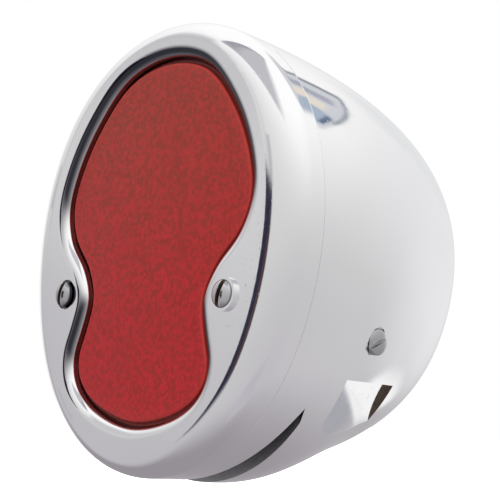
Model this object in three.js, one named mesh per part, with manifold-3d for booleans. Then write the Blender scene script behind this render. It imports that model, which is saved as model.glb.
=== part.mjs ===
// Twin-lobe motorcycle tail light in a polished cast body, modelled as separate parts.
//
// Units are millimetres, +Z is up and the lens faces -Y. The origin is the centre of the flat
// rear pad that bolts to the machine. Inside this file each part is laid out by its depth behind
// the bezel's front face (+Y), and one group moves the whole lamp so that the pad is at Y = 0.
import * as THREE from 'three';
import { mergeVertices } from 'three/addons/utils/BufferGeometryUtils.js';
import Module from 'manifold-3d';

const wasm = await Module();
wasm.setup();

// Overall lamp
const LAMP_DEPTH = 101;          // bezel face to rear pad
const NOSE_DEPTH = 102;          // where the bullet-shaped body would close to a point
const SEAM_DEPTH = 10.8;         // back of the bezel
const GAP = 0.3;                 // clearance between pieces that touch

// Face outline, as a radius in polar form about the face centre: r = sum of harmonics
const OUTLINE_MEAN = 60.13;
const OUTLINE_SIN1 = 0.468;
const OUTLINE_COS2 = -3.495;
const OUTLINE_SIN3 = 0.464;
const OUTLINE_COS4 = -0.118;
const HALF_WIDTH = 56.5;
const FACE_TOP = 63.5;
const FACE_BOTTOM = 63.4;

// Bullet body: each profile falls from the seam to the nose as (1 - u^power)^(1/root)
const WIDTH_FALL = { power: 1.21, root: 4.92 };
const TOP_FALL = { power: 2.14, root: 4.03 };
const BOTTOM_FALL = { power: 1.45, root: 4.98 };
const NOSE_HEIGHT = 2.5;         // height of the nose above the face centre
const BELLY = 2.9;               // how far the underside bulges below the bezel
const BELLY_END = 0.6;           // fraction of the body's length that the bulge covers

// Casting
const WALL = 3.2;
const RIM_INSET = 7;             // thickness of the body's front rim
const RIM_BACK = 14.2;
const SPIGOT_INSET = 4.4;        // step that the bezel's skirt slides over
const SPIGOT_FRONT = 9.1;
const PAD_THICKNESS = 7;

// Bezel
const SHOULDER = { mean: 8, sides: 2, depth: 6.5 }; // rounded band round the flat face, wider at the sides
const BEZEL_WALL = 4.2;          // thickness behind the face
const SKIRT = 4.1;               // thickness of the bezel's side wall
const OPENING_ROUND = { width: 3.5, depth: 2.2 };

// Right half of the lens opening, top to bottom: a wide upper lobe, a waist that clears the
// bezel screws, and a narrower lower lobe. The left half mirrors it.
const OPENING_HALF = [
  [0, 53], [17.4, 49], [30, 36.9], [37.7, 23.3], [40.2, 12], [37, 1.9], [29.1, -7], [25.4, -15.3],
  [27.3, -24.4], [29.6, -32], [27.9, -39], [20, -45.6], [0, -50.4],
];

// Lens: a flange behind the bezel, a body that fills the opening and a raised pad
const LENS_FLANGE = { front: 4.5, back: 7, inset: 4.6 };
const LENS_BODY_FRONT = 3.4;
const LENS_PAD_FRONT = 2;
const LENS_PAD_INSET = 1.6;
const LENS_PAD_ROUND = 0.9;
const LENS_WALL = 2.6;
const GASKET = { front: 7.3, back: 8.8, outer: 4.6, inner: 7.4 };

// Fasteners of the bezel, one on each side of the waist
const BEZEL_SCREW = { x: 34.7, z: -14.3, head: 3.7, dome: 2.2, shank: 1.95, length: 24, hole: 2.3 };
const BEZEL_BOSS = 4.2;
const BODY_BOSS_BACK = 30;
const SLOT_WIDTH = 1.1;
const SLOT_DEPTH = 0.9;

// Side screws that hold the yoke
const SIDE_SCREW = { depth: 43, z: -21.7, head: 3.6, shank: 2, hole: 2.3, seat: 47.6, top: 50 };
const SIDE_SEAT_RADIUS = 4;
const SIDE_NUT = { inner: 37.8, outer: 41.1, size: 6.4 };

// Slot in the underside for the number-plate light, and its clear window
const PLATE_SLOT = { rear: 26.3, front: 17.2, tipDepth: 24.6, tipX: 42.4, top: -38 };
const WINDOW = { front: 15, back: 29.4, thickness: 1.8, top: -36 };
const WINDOW_RINGS = 3;

// Notches low on each flank. The flat floor starts flush at the front and sinks towards the rear wall;
// sink is its fall per millimetre of depth, and lean its fall per millimetre downwards.
const NOTCH = { front: 36, back: 64, top: -32.5, bottom: -72, start: 45.9, sink: 0.31, lean: 0.62 };
const NOTCH_OUTSIDE = 70;

// Yoke, reflector plate and lamp holders
const PLATE = { front: 36, back: 37, grow: 2 };
const YOKE = { front: 37.3, back: 39.3, top: -17.5, bottom: -24.5, half: 43.4, ear: 2, earBack: 48 };
const YOKE_RIVET = { x: 20, head: 2.6, shank: 1.5, proud: 1 };
const LAMPS = [{ name: 'upper', z: 18 }, { name: 'lower', z: -36 }];
const SOCKET = { inner: 7.8, outer: 8.8, flange: 11, front: 35.8, floor: 66.5, back: 67.7, hole: 3.4 };
const SOCKET_FLANGE_THICKNESS = 1.2;

// Bayonet: the pins lock at 0 degrees. Seen from the front the bulb turns anticlockwise by TWIST
// degrees, which is a negative turn about Y, and leaves through the channels there.
const TWIST = 20;
const PUSH = 2;
const CAP = { radius: 7.5, front: 36, back: 53.4, wall: 0.8, floorFront: 42, floorBack: 44 };
const PIN = { radius: 1, reach: 8.6, depth: 45 };
const PIN_CLEARANCE = 0.4;
const BASE = { radius: 6.6, front: 52.4, back: 54.4 };
const BULB = { neck: 6.4, globe: 12, globeDepth: 24.5, back: 35.7, tipRadius: 4 };
const CARRIER = { radius: 7.4, front: 55.4, back: 57 };
const CONTACT = { button: 2.6, front: 54.8, stem: 1.4, back: 71, hole: 1.8 };
const SPRING = { radius: 5.2, wire: 0.45, front: 57.8, back: 65.7, turns: 5 };

// Rear pad
const STUD = { x: 15, radius: 3, start: 95.3, reach: 17 };
const STUD_HOLE = 3.3;
const BRACKET_SPACE = 3;         // room left on the studs for the fender or bracket
const WASHER = { inner: 3.3, outer: 6.2, thickness: 1.2 };
const NUT = { across: 10, thickness: 5 };
const GROMMET = { z: -14, bore: 3.2, groove: 5.2, flange: 7.4, seat: 7.8, seatDepth: 2.6, hole: 5.5 };

// Mesh fineness
const RING_POINTS = 48;
const OPENING_POINTS = 48;
const BODY_RINGS = 12;
const CAVITY_POINTS = 40;
const CAVITY_RINGS = 9;
const ROUND = 18;

const FINISHES = {
  casting: { color: 0xc9c8ca, roughness: 0.14, metalness: 1 },
  lens: { color: 0xa51f22, roughness: 0.25, metalness: 0 },
  rubber: { color: 0x1d1d1e, roughness: 0.85, metalness: 0 },
  chrome: { color: 0xb9b8b6, roughness: 0.2, metalness: 1 },
  zinc: { color: 0xa7abae, roughness: 0.42, metalness: 1 },
  reflector: { color: 0xdedfe0, roughness: 0.22, metalness: 1 },
  window: { color: 0xe8eef0, roughness: 0.08, metalness: 0 },
  brass: { color: 0xb08d4a, roughness: 0.35, metalness: 1 },
  glass: { color: 0xf2f4f4, roughness: 0.05, metalness: 0 },
  fibre: { color: 0x5a3a24, roughness: 0.8, metalness: 0 },
  blackGlass: { color: 0x151417, roughness: 0.3, metalness: 0 },
  spring: { color: 0x8d9093, roughness: 0.35, metalness: 1 },
};

const lamp = new THREE.Group();

function addPart(name, solid, finish) {
  const geometry = solid.isBufferGeometry ? solid : toGeometry(solid);
  const mesh = new THREE.Mesh(geometry, new THREE.MeshStandardMaterial(FINISHES[finish]));
  mesh.name = name;
  lamp.add(mesh);
  return mesh;
}

// --- Solids -------------------------------------------------------------------------------

function toSolid(geometry) {
  const bare = geometry.clone();
  bare.deleteAttribute('normal');
  bare.deleteAttribute('uv');
  const welded = mergeVertices(bare, 1e-4);
  const points = new Float32Array(welded.attributes.position.array);
  const index = new Uint32Array(welded.index.array);
  if (signedVolume(points, index) < 0) {
    index.reverse();
  }
  return new wasm.Manifold(new wasm.Mesh({ numProp: 3, vertProperties: points, triVerts: index }));
}

// Negative when the triangles face inwards.
function signedVolume(points, index) {
  const corner = (i) => new THREE.Vector3().fromArray(points, 3 * index[i]);
  let volume = 0;
  for (let i = 0; i < index.length; i += 3) {
    volume += corner(i).dot(corner(i + 1).cross(corner(i + 2))) / 6;
  }
  return volume;
}

function toGeometry(solid) {
  const mesh = solid.getMesh();
  const geometry = new THREE.BufferGeometry();
  geometry.setAttribute('position', new THREE.BufferAttribute(mesh.vertProperties, 3));
  geometry.setIndex(new THREE.BufferAttribute(mesh.triVerts, 1));
  geometry.computeVertexNormals();
  return geometry;
}

// A closed solid through rings of equally many points, with a flat cap at each end.
function loft(rings) {
  const count = rings[0].length;
  const centre = (ring) => ring.reduce((sum, p) => sum.add(p), new THREE.Vector3()).divideScalar(count);
  const points = [...rings.flat(), centre(rings[0]), centre(rings.at(-1))];
  const index = [];
  for (let i = 0; i < rings.length - 1; i += 1) {
    for (let j = 0; j < count; j += 1) {
      const a = i * count + j;
      const b = i * count + ((j + 1) % count);
      index.push(a, b, b + count, a, b + count, a + count);
    }
  }
  const last = (rings.length - 1) * count;
  for (let j = 0; j < count; j += 1) {
    const next = (j + 1) % count;
    index.push(rings.length * count, next, j);
    index.push(rings.length * count + 1, last + j, last + next);
  }
  const geometry = new THREE.BufferGeometry().setFromPoints(points);
  geometry.setIndex(index);
  return toSolid(geometry);
}

// A flat outline in X and Z, extruded from one depth to another.
function extrude(outline, front, back) {
  const shape = new THREE.Shape(outline.map(([x, z]) => new THREE.Vector2(x, z)));
  const geometry = new THREE.ExtrudeGeometry(shape, { depth: back - front, bevelEnabled: false });
  geometry.rotateX(Math.PI / 2);
  geometry.translate(0, back, 0);
  return toSolid(geometry);
}

function box(x0, x1, y0, y1, z0, z1) {
  const geometry = new THREE.BoxGeometry(x1 - x0, y1 - y0, z1 - z0);
  geometry.translate((x0 + x1) / 2, (y0 + y1) / 2, (z0 + z1) / 2);
  return toSolid(geometry);
}

// A turned piece about the Y axis at (x, z); the profile is [radius, depth] pairs.
function turned(profile, x = 0, z = 0, segments = ROUND) {
  const points = profile.map(([radius, depth]) => new THREE.Vector2(radius, depth));
  const geometry = new THREE.LatheGeometry(points, segments);
  geometry.translate(x, 0, z);
  return toSolid(geometry);
}

function cylinder(radius, front, back, x, z, segments = ROUND) {
  return turned([[0, front], [radius, front], [radius, back], [0, back]], x, z, segments);
}

// A cylinder along X, from x0 to x1, centred on a depth and a height.
function crossCylinder(radius, x0, x1, depth, z, segments = ROUND) {
  const geometry = new THREE.CylinderGeometry(radius, radius, x1 - x0, segments);
  geometry.rotateZ(Math.PI / 2);
  geometry.translate((x0 + x1) / 2, depth, z);
  return toSolid(geometry);
}

function mirrored(solid) {
  return solid.mirror([1, 0, 0]);
}

// --- Outlines -----------------------------------------------------------------------------

function faceRadius(angle) {
  return OUTLINE_MEAN + OUTLINE_SIN1 * Math.sin(angle) + OUTLINE_COS2 * Math.cos(2 * angle)
    + OUTLINE_SIN3 * Math.sin(3 * angle) + OUTLINE_COS4 * Math.cos(4 * angle);
}

// The face outline moved inwards by a distance, as [x, z] pairs.
function faceOutline(inset, count = RING_POINTS) {
  return offset(Array.from({ length: count }, (_, i) => {
    const angle = (2 * Math.PI * i) / count;
    return [faceRadius(angle) * Math.cos(angle), faceRadius(angle) * Math.sin(angle)];
  }), () => -inset);
}

// The face outline moved inwards by a share of the shoulder's width, which varies round the face.
function shoulderOutline(share) {
  return offset(faceOutline(0), ([x, z]) => {
    const width = SHOULDER.mean + SHOULDER.sides * Math.cos(2 * Math.atan2(z, x));
    return -share * width;
  });
}

// An anticlockwise outline with every point moved outwards along its normal by distance(point).
function offset(outline, distance) {
  const count = outline.length;
  return outline.map((point, i) => {
    const [x, z] = point;
    const before = outline[(i + count - 1) % count];
    const after = outline[(i + 1) % count];
    const along = new THREE.Vector2(after[0] - before[0], after[1] - before[1]).normalize();
    return [x + distance(point) * along.y, z - distance(point) * along.x];
  });
}

const openingCurve = new THREE.CatmullRomCurve3(
  [...OPENING_HALF.map(([x, z]) => [-x, z]), ...OPENING_HALF.slice(1, -1).reverse()]
    .map(([x, z]) => new THREE.Vector3(x, 0, z)),
  true,
  'centripetal',
);
const OPENING = openingCurve.getSpacedPoints(OPENING_POINTS).slice(0, -1).map((p) => [p.x, p.z]);

function opening(grow) {
  return offset(OPENING, () => grow);
}

function ringAt(outline, depth) {
  return outline.map(([x, z]) => new THREE.Vector3(x, depth, z));
}

// --- The bullet body ----------------------------------------------------------------------

function fall(u, { power, root }) {
  return Math.max(1 - u ** power, 0) ** (1 / root);
}

// Section of the body at a depth, inset by a wall thickness.
function bodyRing(depth, inset = 0, count = RING_POINTS) {
  const u = THREE.MathUtils.clamp((depth - SEAM_DEPTH) / (NOSE_DEPTH - SEAM_DEPTH), 0, 1);
  const middle = NOSE_HEIGHT * u;
  const belly = BELLY * Math.sin(Math.PI * Math.min(u / BELLY_END, 1)) ** 2;
  const half = HALF_WIDTH * fall(u, WIDTH_FALL) - inset;
  const top = NOSE_HEIGHT + (FACE_TOP - NOSE_HEIGHT) * fall(u, TOP_FALL) - inset;
  const bottom = NOSE_HEIGHT - (FACE_BOTTOM + NOSE_HEIGHT) * fall(u, BOTTOM_FALL) - belly + inset;
  return faceOutline(0, count).map(([x, z]) => new THREE.Vector3(
    (x * half) / HALF_WIDTH,
    depth,
    z > 0 ? middle + (z / FACE_TOP) * (top - middle) : middle + (z / FACE_BOTTOM) * (middle - bottom),
  ));
}

// Depths from front to back, closer together towards the blunt nose.
function bodyDepths(front, back, count) {
  return Array.from({ length: count + 1 }, (_, i) => {
    const t = i / count;
    return front + (back - front) * Math.sin((t * Math.PI) / 2);
  });
}

function bodySolid(front, back, inset, rings, count) {
  return loft(bodyDepths(front, back, rings).map((depth) => bodyRing(depth, inset, count)));
}

// One notch on the right flank; grow widens it on every inner side.
function notch(grow) {
  const { front, back, top, bottom, start, sink, lean } = NOTCH;
  const floor = (depth, z) => start - sink * (depth - front) + lean * (z - top) - grow;
  const section = (depth) => [
    [floor(depth, top + grow), top + grow],
    [floor(depth, bottom), bottom],
    [NOTCH_OUTSIDE, bottom],
    [NOTCH_OUTSIDE, top + grow],
  ];
  return loft([front - grow, back + grow].map((depth) => ringAt(section(depth), depth)));
}

function plateSlot() {
  const { rear, front, tipDepth, tipX, top } = PLATE_SLOT;
  const steps = 12;
  const arc = Array.from({ length: steps + 1 }, (_, i) => {
    const x = -tipX + (2 * tipX * i) / steps;
    return new THREE.Vector2(x, tipDepth - (tipDepth - front) * (1 - (x / tipX) ** 2) ** 0.8);
  });
  const rearCorners = [new THREE.Vector2(tipX - 3, rear), new THREE.Vector2(3 - tipX, rear)];
  const shape = new THREE.Shape([...arc, ...rearCorners]);
  const geometry = new THREE.ExtrudeGeometry(shape, { depth: FACE_TOP, bevelEnabled: false });
  geometry.translate(0, 0, top - FACE_TOP);
  return toSolid(geometry);
}

// Threaded boss for a bezel screw, with a web out to the side wall.
function screwBoss() {
  const { x, z } = BEZEL_SCREW;
  const post = cylinder(BEZEL_BOSS, SPIGOT_FRONT, BODY_BOSS_BACK, x, z);
  const web = box(x, HALF_WIDTH - WALL, SEAM_DEPTH + GAP, BODY_BOSS_BACK, z - 2, z + 2);
  return post.add(web);
}

function housingCavity() {
  const hollow = bodySolid(RIM_BACK, LAMP_DEPTH - PAD_THICKNESS, WALL, CAVITY_RINGS, CAVITY_POINTS);
  const mouth = loft([
    ringAt(faceOutline(RIM_INSET), SPIGOT_FRONT - 1),
    ringAt(faceOutline(RIM_INSET), RIM_BACK + 2),
  ]);
  const lining = notch(WALL - GAP);
  return hollow.subtract(lining).subtract(mirrored(lining)).add(mouth);
}

function bothSides(make) {
  const solid = make();
  return solid.add(mirrored(solid));
}

function housing() {
  const shell = bodySolid(SEAM_DEPTH + GAP, LAMP_DEPTH, 0, BODY_RINGS, RING_POINTS);
  const spigot = loft([
    ringAt(faceOutline(SPIGOT_INSET), SPIGOT_FRONT),
    ringAt(faceOutline(SPIGOT_INSET), RIM_BACK),
  ]);
  const { x, z, hole, length } = BEZEL_SCREW;
  const bosses = bothSides(screwBoss).intersect(shell.add(spigot));
  const bossHoles = bothSides(() => cylinder(hole, 0, length + 1, x, z));
  const sideHoles = bothSides(() => sideScrewHole());
  const rear = rearPadCuts();
  return shell.add(spigot)
    .subtract(housingCavity())
    .add(bosses)
    .subtract(bossHoles)
    .subtract(sideHoles)
    .subtract(bothSides(() => notch(0)))
    .subtract(plateSlot())
    .subtract(rear);
}

function sideScrewHole() {
  const { depth, z, hole, seat } = SIDE_SCREW;
  const through = crossCylinder(hole, YOKE.half - 3, seat + 1, depth, z);
  return through.add(crossCylinder(SIDE_SEAT_RADIUS, seat, HALF_WIDTH, depth, z));
}

function rearPadCuts() {
  const back = LAMP_DEPTH + 1;
  const studs = bothSides(() => cylinder(STUD_HOLE, LAMP_DEPTH - PAD_THICKNESS + 1, back, STUD.x, 0));
  const wire = cylinder(GROMMET.hole, LAMP_DEPTH - PAD_THICKNESS - 1, back, 0, GROMMET.z);
  const seat = cylinder(GROMMET.seat, LAMP_DEPTH - GROMMET.seatDepth, back, 0, GROMMET.z);
  return studs.add(wire).add(seat);
}

// --- Bezel and lens -----------------------------------------------------------------------

// Rings that round a front edge over a quarter ellipse, from the flat face to the side wall at
// back. shape(share) gives the outline moved inwards by a share of the rounding's width.
function roundedRings(shape, drop, front, back, steps) {
  const rings = [];
  for (let i = 0; i <= steps; i += 1) {
    const angle = (i / steps) * (Math.PI / 2);
    rings.push(ringAt(shape(1 - Math.sin(angle)), front + drop * (1 - Math.cos(angle))));
  }
  rings.push(ringAt(shape(0), back));
  return rings;
}

function bezel() {
  const outside = loft(roundedRings(shoulderOutline, SHOULDER.depth, 0, SEAM_DEPTH, 5));
  const flare = [3, 2, 1, 0].map((i) => {
    const angle = (i / 3) * (Math.PI / 2);
    const grow = OPENING_ROUND.width * (1 - Math.cos(angle));
    return ringAt(opening(grow), OPENING_ROUND.depth * (1 - Math.sin(angle)));
  });
  const hole = loft([
    ringAt(opening(OPENING_ROUND.width), -1),
    ...flare,
    ringAt(opening(0), SEAM_DEPTH + 1),
  ]);
  const recess = loft([
    ringAt(faceOutline(SKIRT), BEZEL_WALL),
    ringAt(faceOutline(SKIRT), SEAM_DEPTH + 1),
  ]);
  const { x, z, hole: clearance } = BEZEL_SCREW;
  const bosses = bothSides(() => cylinder(BEZEL_BOSS, 1, SPIGOT_FRONT - GAP, x, z));
  const holes = bothSides(() => cylinder(clearance, -1, SEAM_DEPTH, x, z));
  return outside.subtract(hole).subtract(recess).add(bosses).subtract(holes);
}

function lens() {
  const { front, back, inset } = LENS_FLANGE;
  const flange = loft([ringAt(faceOutline(inset), front), ringAt(faceOutline(inset), back)]);
  const body = loft([
    ringAt(opening(-0.5), LENS_BODY_FRONT),
    ringAt(opening(-0.5), back),
  ]);
  const pad = loft(roundedRings(
    (share) => opening(-LENS_PAD_INSET - share * LENS_PAD_ROUND),
    LENS_PAD_ROUND,
    LENS_PAD_FRONT,
    back,
    3,
  ));
  const hollow = loft([
    ringAt(opening(-LENS_PAD_INSET - LENS_WALL), LENS_PAD_FRONT + LENS_WALL),
    ringAt(opening(-LENS_PAD_INSET - LENS_WALL), back + 1),
  ]);
  const { x, z } = BEZEL_SCREW;
  const holes = bothSides(() => cylinder(BEZEL_BOSS + GAP + 0.2, 0, SEAM_DEPTH, x, z));
  return flange.add(body).add(pad).subtract(hollow).subtract(holes);
}

function lensGasket() {
  const { front, back, outer, inner } = GASKET;
  const ring = loft([ringAt(faceOutline(outer), front), ringAt(faceOutline(outer), back)]);
  const inside = loft([ringAt(faceOutline(inner), front - 1), ringAt(faceOutline(inner), back + 1)]);
  return ring.subtract(inside);
}

// A slotted screw along Y with a domed head in front of the seat.
function bezelScrew(side) {
  const { x, z, head, dome, shank, length } = BEZEL_SCREW;
  const seat = -GAP;
  const crown = [[0, seat - dome], [head * 0.5, seat - dome * 0.93], [head * 0.82, seat - dome * 0.68]];
  const body = [[head, seat - dome * 0.3], [head, seat], [shank, seat], [shank, length], [0, length]];
  const screw = turned([...crown, ...body], 0, 0, 20);
  const top = seat - dome;
  const slot = box(-head - 1, head + 1, top - 1, top + SLOT_DEPTH, -SLOT_WIDTH / 2, SLOT_WIDTH / 2);
  const turn = side > 0 ? 35 : -20;
  return screw.subtract(slot).rotate([0, turn, 0]).translate([side * x, 0, z]);
}

function sideScrew() {
  const { depth, z, head, shank, seat, top } = SIDE_SCREW;
  const headSolid = crossCylinder(head, seat + GAP, top, depth, z, 20);
  const shankSolid = crossCylinder(shank, SIDE_NUT.inner - 2, seat + 1, depth, z, 16);
  const slot = box(-SLOT_WIDTH / 2, SLOT_WIDTH / 2, -head - 1, head + 1, -SLOT_DEPTH, 2);
  const placed = slot.rotate([0, 90, 0]).rotate([30, 0, 0]).translate([top, depth, z]);
  return headSolid.add(shankSolid).subtract(placed);
}

function sideNut() {
  const { inner, outer, size } = SIDE_NUT;
  const { depth, z, hole } = SIDE_SCREW;
  const half = size / 2;
  const block = box(inner, outer, depth - half, depth + half, z - half + 0.4, z + half);
  return block.subtract(crossCylinder(hole, inner - 1, outer + 1, depth, z, 16));
}

// --- Window, yoke and plate ---------------------------------------------------------------

function plateWindow() {
  const { front, back, thickness, top } = WINDOW;
  const outer = bodySolid(front, back, WALL + GAP, WINDOW_RINGS, CAVITY_POINTS);
  const inner = bodySolid(front - 1, back + 1, WALL + GAP + thickness, WINDOW_RINGS, CAVITY_POINTS);
  const keep = box(-HALF_WIDTH, HALF_WIDTH, front - 2, back + 2, -FACE_TOP - 9, top);
  return outer.subtract(inner).intersect(keep);
}

function reflectorPlate() {
  const sheet = extrude(opening(PLATE.grow), PLATE.front, PLATE.back);
  return withLampHoles(sheet, SOCKET.outer + GAP).subtract(rivetHoles());
}

function withLampHoles(solid, radius) {
  return LAMPS.reduce((rest, { z }) => rest.subtract(cylinder(radius, 30, 45, 0, z)), solid);
}

function rivetHoles() {
  const z = (YOKE.top + YOKE.bottom) / 2;
  return bothSides(() => cylinder(YOKE_RIVET.shank + GAP, 30, 45, YOKE_RIVET.x, z, 16));
}

function yoke() {
  const { front, back, top, bottom, half, ear, earBack } = YOKE;
  const strap = box(-half, half, front, back, bottom, top);
  const ears = bothSides(() => box(half - ear, half, front, earBack, bottom, top));
  const { hole, depth, z } = SIDE_SCREW;
  const holes = bothSides(() => crossCylinder(hole, half - 4, half + 1, depth, z));
  return strap.add(ears).subtract(holes).subtract(rivetHoles());
}

function yokeRivet(side) {
  const { x, head, shank, proud } = YOKE_RIVET;
  const front = PLATE.front - GAP;
  const back = YOKE.back + GAP;
  const profile = [
    [0, front - proud], [head * 0.7, front - proud * 0.7], [head, front], [shank, front],
    [shank, back], [head * 0.8, back], [head * 0.8, back + proud], [0, back + proud],
  ];
  return turned(profile, side * x, (YOKE.top + YOKE.bottom) / 2, 16);
}

// --- Lamp holders and bulbs ---------------------------------------------------------------

// One side of the bayonet slot: a channel from the mouth, and a leg where the pin locks.
function bayonetSlot() {
  const half = PIN.radius + PIN_CLEARANCE;
  const x0 = SOCKET.inner - 1;
  const x1 = SOCKET.outer + 1;
  const bottom = PIN.depth + PUSH + half;
  const mouth = box(x0, x1, SOCKET.front - 1, bottom, -half, half);
  const legs = [0, TWIST / 3, (2 * TWIST) / 3, TWIST].map((angle) => {
    const leg = box(x0, x1, PIN.depth - half, bottom, -half, half);
    return leg.rotate([0, -angle, 0]);
  });
  return legs.reduce((all, leg) => all.add(leg), mouth.rotate([0, -TWIST, 0]));
}

function socket(z) {
  const { inner, outer, flange, front, floor, back, hole } = SOCKET;
  const flangeFront = PLATE.back + GAP;
  const flangeBack = flangeFront + SOCKET_FLANGE_THICKNESS;
  const profile = [
    [inner, front], [outer, front], [outer, flangeFront], [flange, flangeFront], [flange, flangeBack],
    [outer, flangeBack], [outer, back], [hole, back], [hole, floor], [inner, floor], [inner, front],
  ];
  const slot = bayonetSlot();
  return turned(profile, 0, 0, 24)
    .subtract(slot)
    .subtract(slot.rotate([0, 180, 0]))
    .translate([0, 0, z]);
}

function bulbCap(z) {
  const { radius, front, back, wall, floorFront, floorBack } = CAP;
  const inner = radius - wall;
  const profile = [
    [0, floorFront], [inner, floorFront], [inner, front], [radius, front],
    [radius, back], [inner, back], [inner, floorBack], [0, floorBack],
  ];
  const pins = bothSides(() => crossCylinder(PIN.radius, radius - wall / 2, PIN.reach, PIN.depth, 0, 12));
  return turned(profile, 0, 0, 24).add(pins).translate([0, 0, z]);
}

function bulbBase(z) {
  const { radius, front, back } = BASE;
  const profile = [
    [0, front], [radius - 0.2, front], [radius - 0.2, CAP.back], [radius - 0.8, back - 0.6],
    [2.4, back - 0.3], [1.8, back], [0, back],
  ];
  return turned(profile, 0, z, 20);
}

function bulbGlass(z) {
  const { neck, globe, globeDepth, back, tipRadius } = BULB;
  const curve = [];
  const steps = 7;
  for (let i = 0; i <= steps; i += 1) {
    const angle = (i / steps) * Math.PI * 0.76;
    curve.push([globe * Math.sin(angle), globeDepth - globe * Math.cos(angle)]);
  }
  curve[0] = [0, globeDepth - globe];
  return turned([...curve, [neck, back - tipRadius / 2], [neck, back], [0, back]], 0, z, 20);
}

function contactCarrier(z) {
  const { radius, front, back } = CARRIER;
  const { hole } = CONTACT;
  return turned([[hole, front], [radius, front], [radius, back], [hole, back], [hole, front]], 0, z, 20);
}

function contact(z) {
  const { button, front, stem, back } = CONTACT;
  const seat = CARRIER.front - 0.1;
  const head = [[0, front], [button, front + 0.2], [button, seat]];
  return turned([...head, [stem, seat], [stem, back], [0, back]], 0, z, 16);
}

function contactSpring(z) {
  const { radius, wire, front, back, turns } = SPRING;
  const steps = turns * 8;
  const points = Array.from({ length: steps + 1 }, (_, i) => {
    const angle = (2 * Math.PI * turns * i) / steps;
    const depth = front + ((back - front) * i) / steps;
    return new THREE.Vector3(radius * Math.cos(angle), depth, radius * Math.sin(angle));
  });
  const section = new THREE.Shape(Array.from({ length: 5 }, (_, i) => {
    const angle = (2 * Math.PI * i) / 5;
    return new THREE.Vector2(wire * Math.cos(angle), wire * Math.sin(angle));
  }));
  const path = new THREE.CatmullRomCurve3(points);
  const geometry = new THREE.ExtrudeGeometry(section, { steps, bevelEnabled: false, extrudePath: path });
  geometry.translate(0, 0, z);
  return toSolid(geometry);
}

// --- Rear pad -----------------------------------------------------------------------------

function mountStud(side) {
  const { x, radius, start, reach } = STUD;
  const tip = LAMP_DEPTH + reach;
  const profile = [[0, start], [radius, start], [radius, tip - 1], [radius - 1, tip], [0, tip]];
  return turned(profile, side * x, 0, 20);
}

function mountWasher(side) {
  const { inner, outer, thickness } = WASHER;
  const front = LAMP_DEPTH + BRACKET_SPACE;
  const back = front + thickness;
  const section = [[inner, front], [outer, front], [outer, back], [inner, back], [inner, front]];
  return turned(section, side * STUD.x, 0);
}

function mountNut(side) {
  const front = LAMP_DEPTH + BRACKET_SPACE + WASHER.thickness + GAP;
  const back = front + NUT.thickness;
  const corner = NUT.across / Math.sqrt(3);
  const hexagon = cylinder(corner, front, back, side * STUD.x, 0, 6);
  return hexagon.subtract(cylinder(WASHER.inner, front - 1, back + 1, side * STUD.x, 0));
}

function wireGrommet() {
  const { z, bore, groove, flange, seatDepth } = GROMMET;
  const back = LAMP_DEPTH - 0.4;
  const seat = LAMP_DEPTH - seatDepth + GAP;
  const inside = LAMP_DEPTH - PAD_THICKNESS - GAP;
  const profile = [
    [bore, back], [flange - 0.6, back], [flange, back - 0.6], [flange, seat], [groove, seat],
    [groove, inside], [flange, inside], [flange - 1, inside - 2], [bore, inside - 2], [bore, back],
  ];
  return turned(profile.reverse(), 0, z);
}

// --- Assembly -----------------------------------------------------------------------------

const SIDES = [{ name: 'left', sign: -1 }, { name: 'right', sign: 1 }];

addPart('housing', housing(), 'casting');
addPart('bezel', bezel(), 'casting');
addPart('lens', lens(), 'lens');
addPart('lens_gasket', lensGasket(), 'rubber');
addPart('plate_window', plateWindow(), 'window');
addPart('reflector_plate', reflectorPlate(), 'reflector');
addPart('socket_yoke', yoke(), 'zinc');
addPart('wire_grommet', wireGrommet(), 'rubber');

for (const { name, sign } of SIDES) {
  const place = (solid) => (sign > 0 ? solid : mirrored(solid));
  addPart(`bezel_screw_${name}`, bezelScrew(sign), 'chrome');
  addPart(`side_screw_${name}`, place(sideScrew()), 'chrome');
  addPart(`side_nut_${name}`, place(sideNut()), 'zinc');
  addPart(`yoke_rivet_${name}`, yokeRivet(sign), 'brass');
  addPart(`mount_stud_${name}`, mountStud(sign), 'zinc');
  addPart(`mount_washer_${name}`, mountWasher(sign), 'zinc');
  addPart(`mount_nut_${name}`, mountNut(sign), 'zinc');
}

for (const { name, z } of LAMPS) {
  addPart(`socket_${name}`, socket(z), 'zinc');
  addPart(`bulb_cap_${name}`, bulbCap(z), 'brass');
  addPart(`bulb_base_${name}`, bulbBase(z), 'blackGlass');
  addPart(`bulb_glass_${name}`, bulbGlass(z), 'glass');
  addPart(`contact_carrier_${name}`, contactCarrier(z), 'fibre');
  addPart(`contact_${name}`, contact(z), 'brass');
  addPart(`contact_spring_${name}`, contactSpring(z), 'spring');
}

lamp.position.y = -LAMP_DEPTH;

export default lamp;
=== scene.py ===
"""Twin-lobe motorcycle tail light in a polished casting.

Shapes are laid out in millimetres by their depth behind the bezel's face, the way the CAD part
is, and to_metres() puts them in the frame: X right, Y towards the rear pad, Z up.
"""

import math
from types import SimpleNamespace as Sizes

import bmesh
import bpy
import numpy as np
from mathutils import Matrix, Vector


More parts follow.
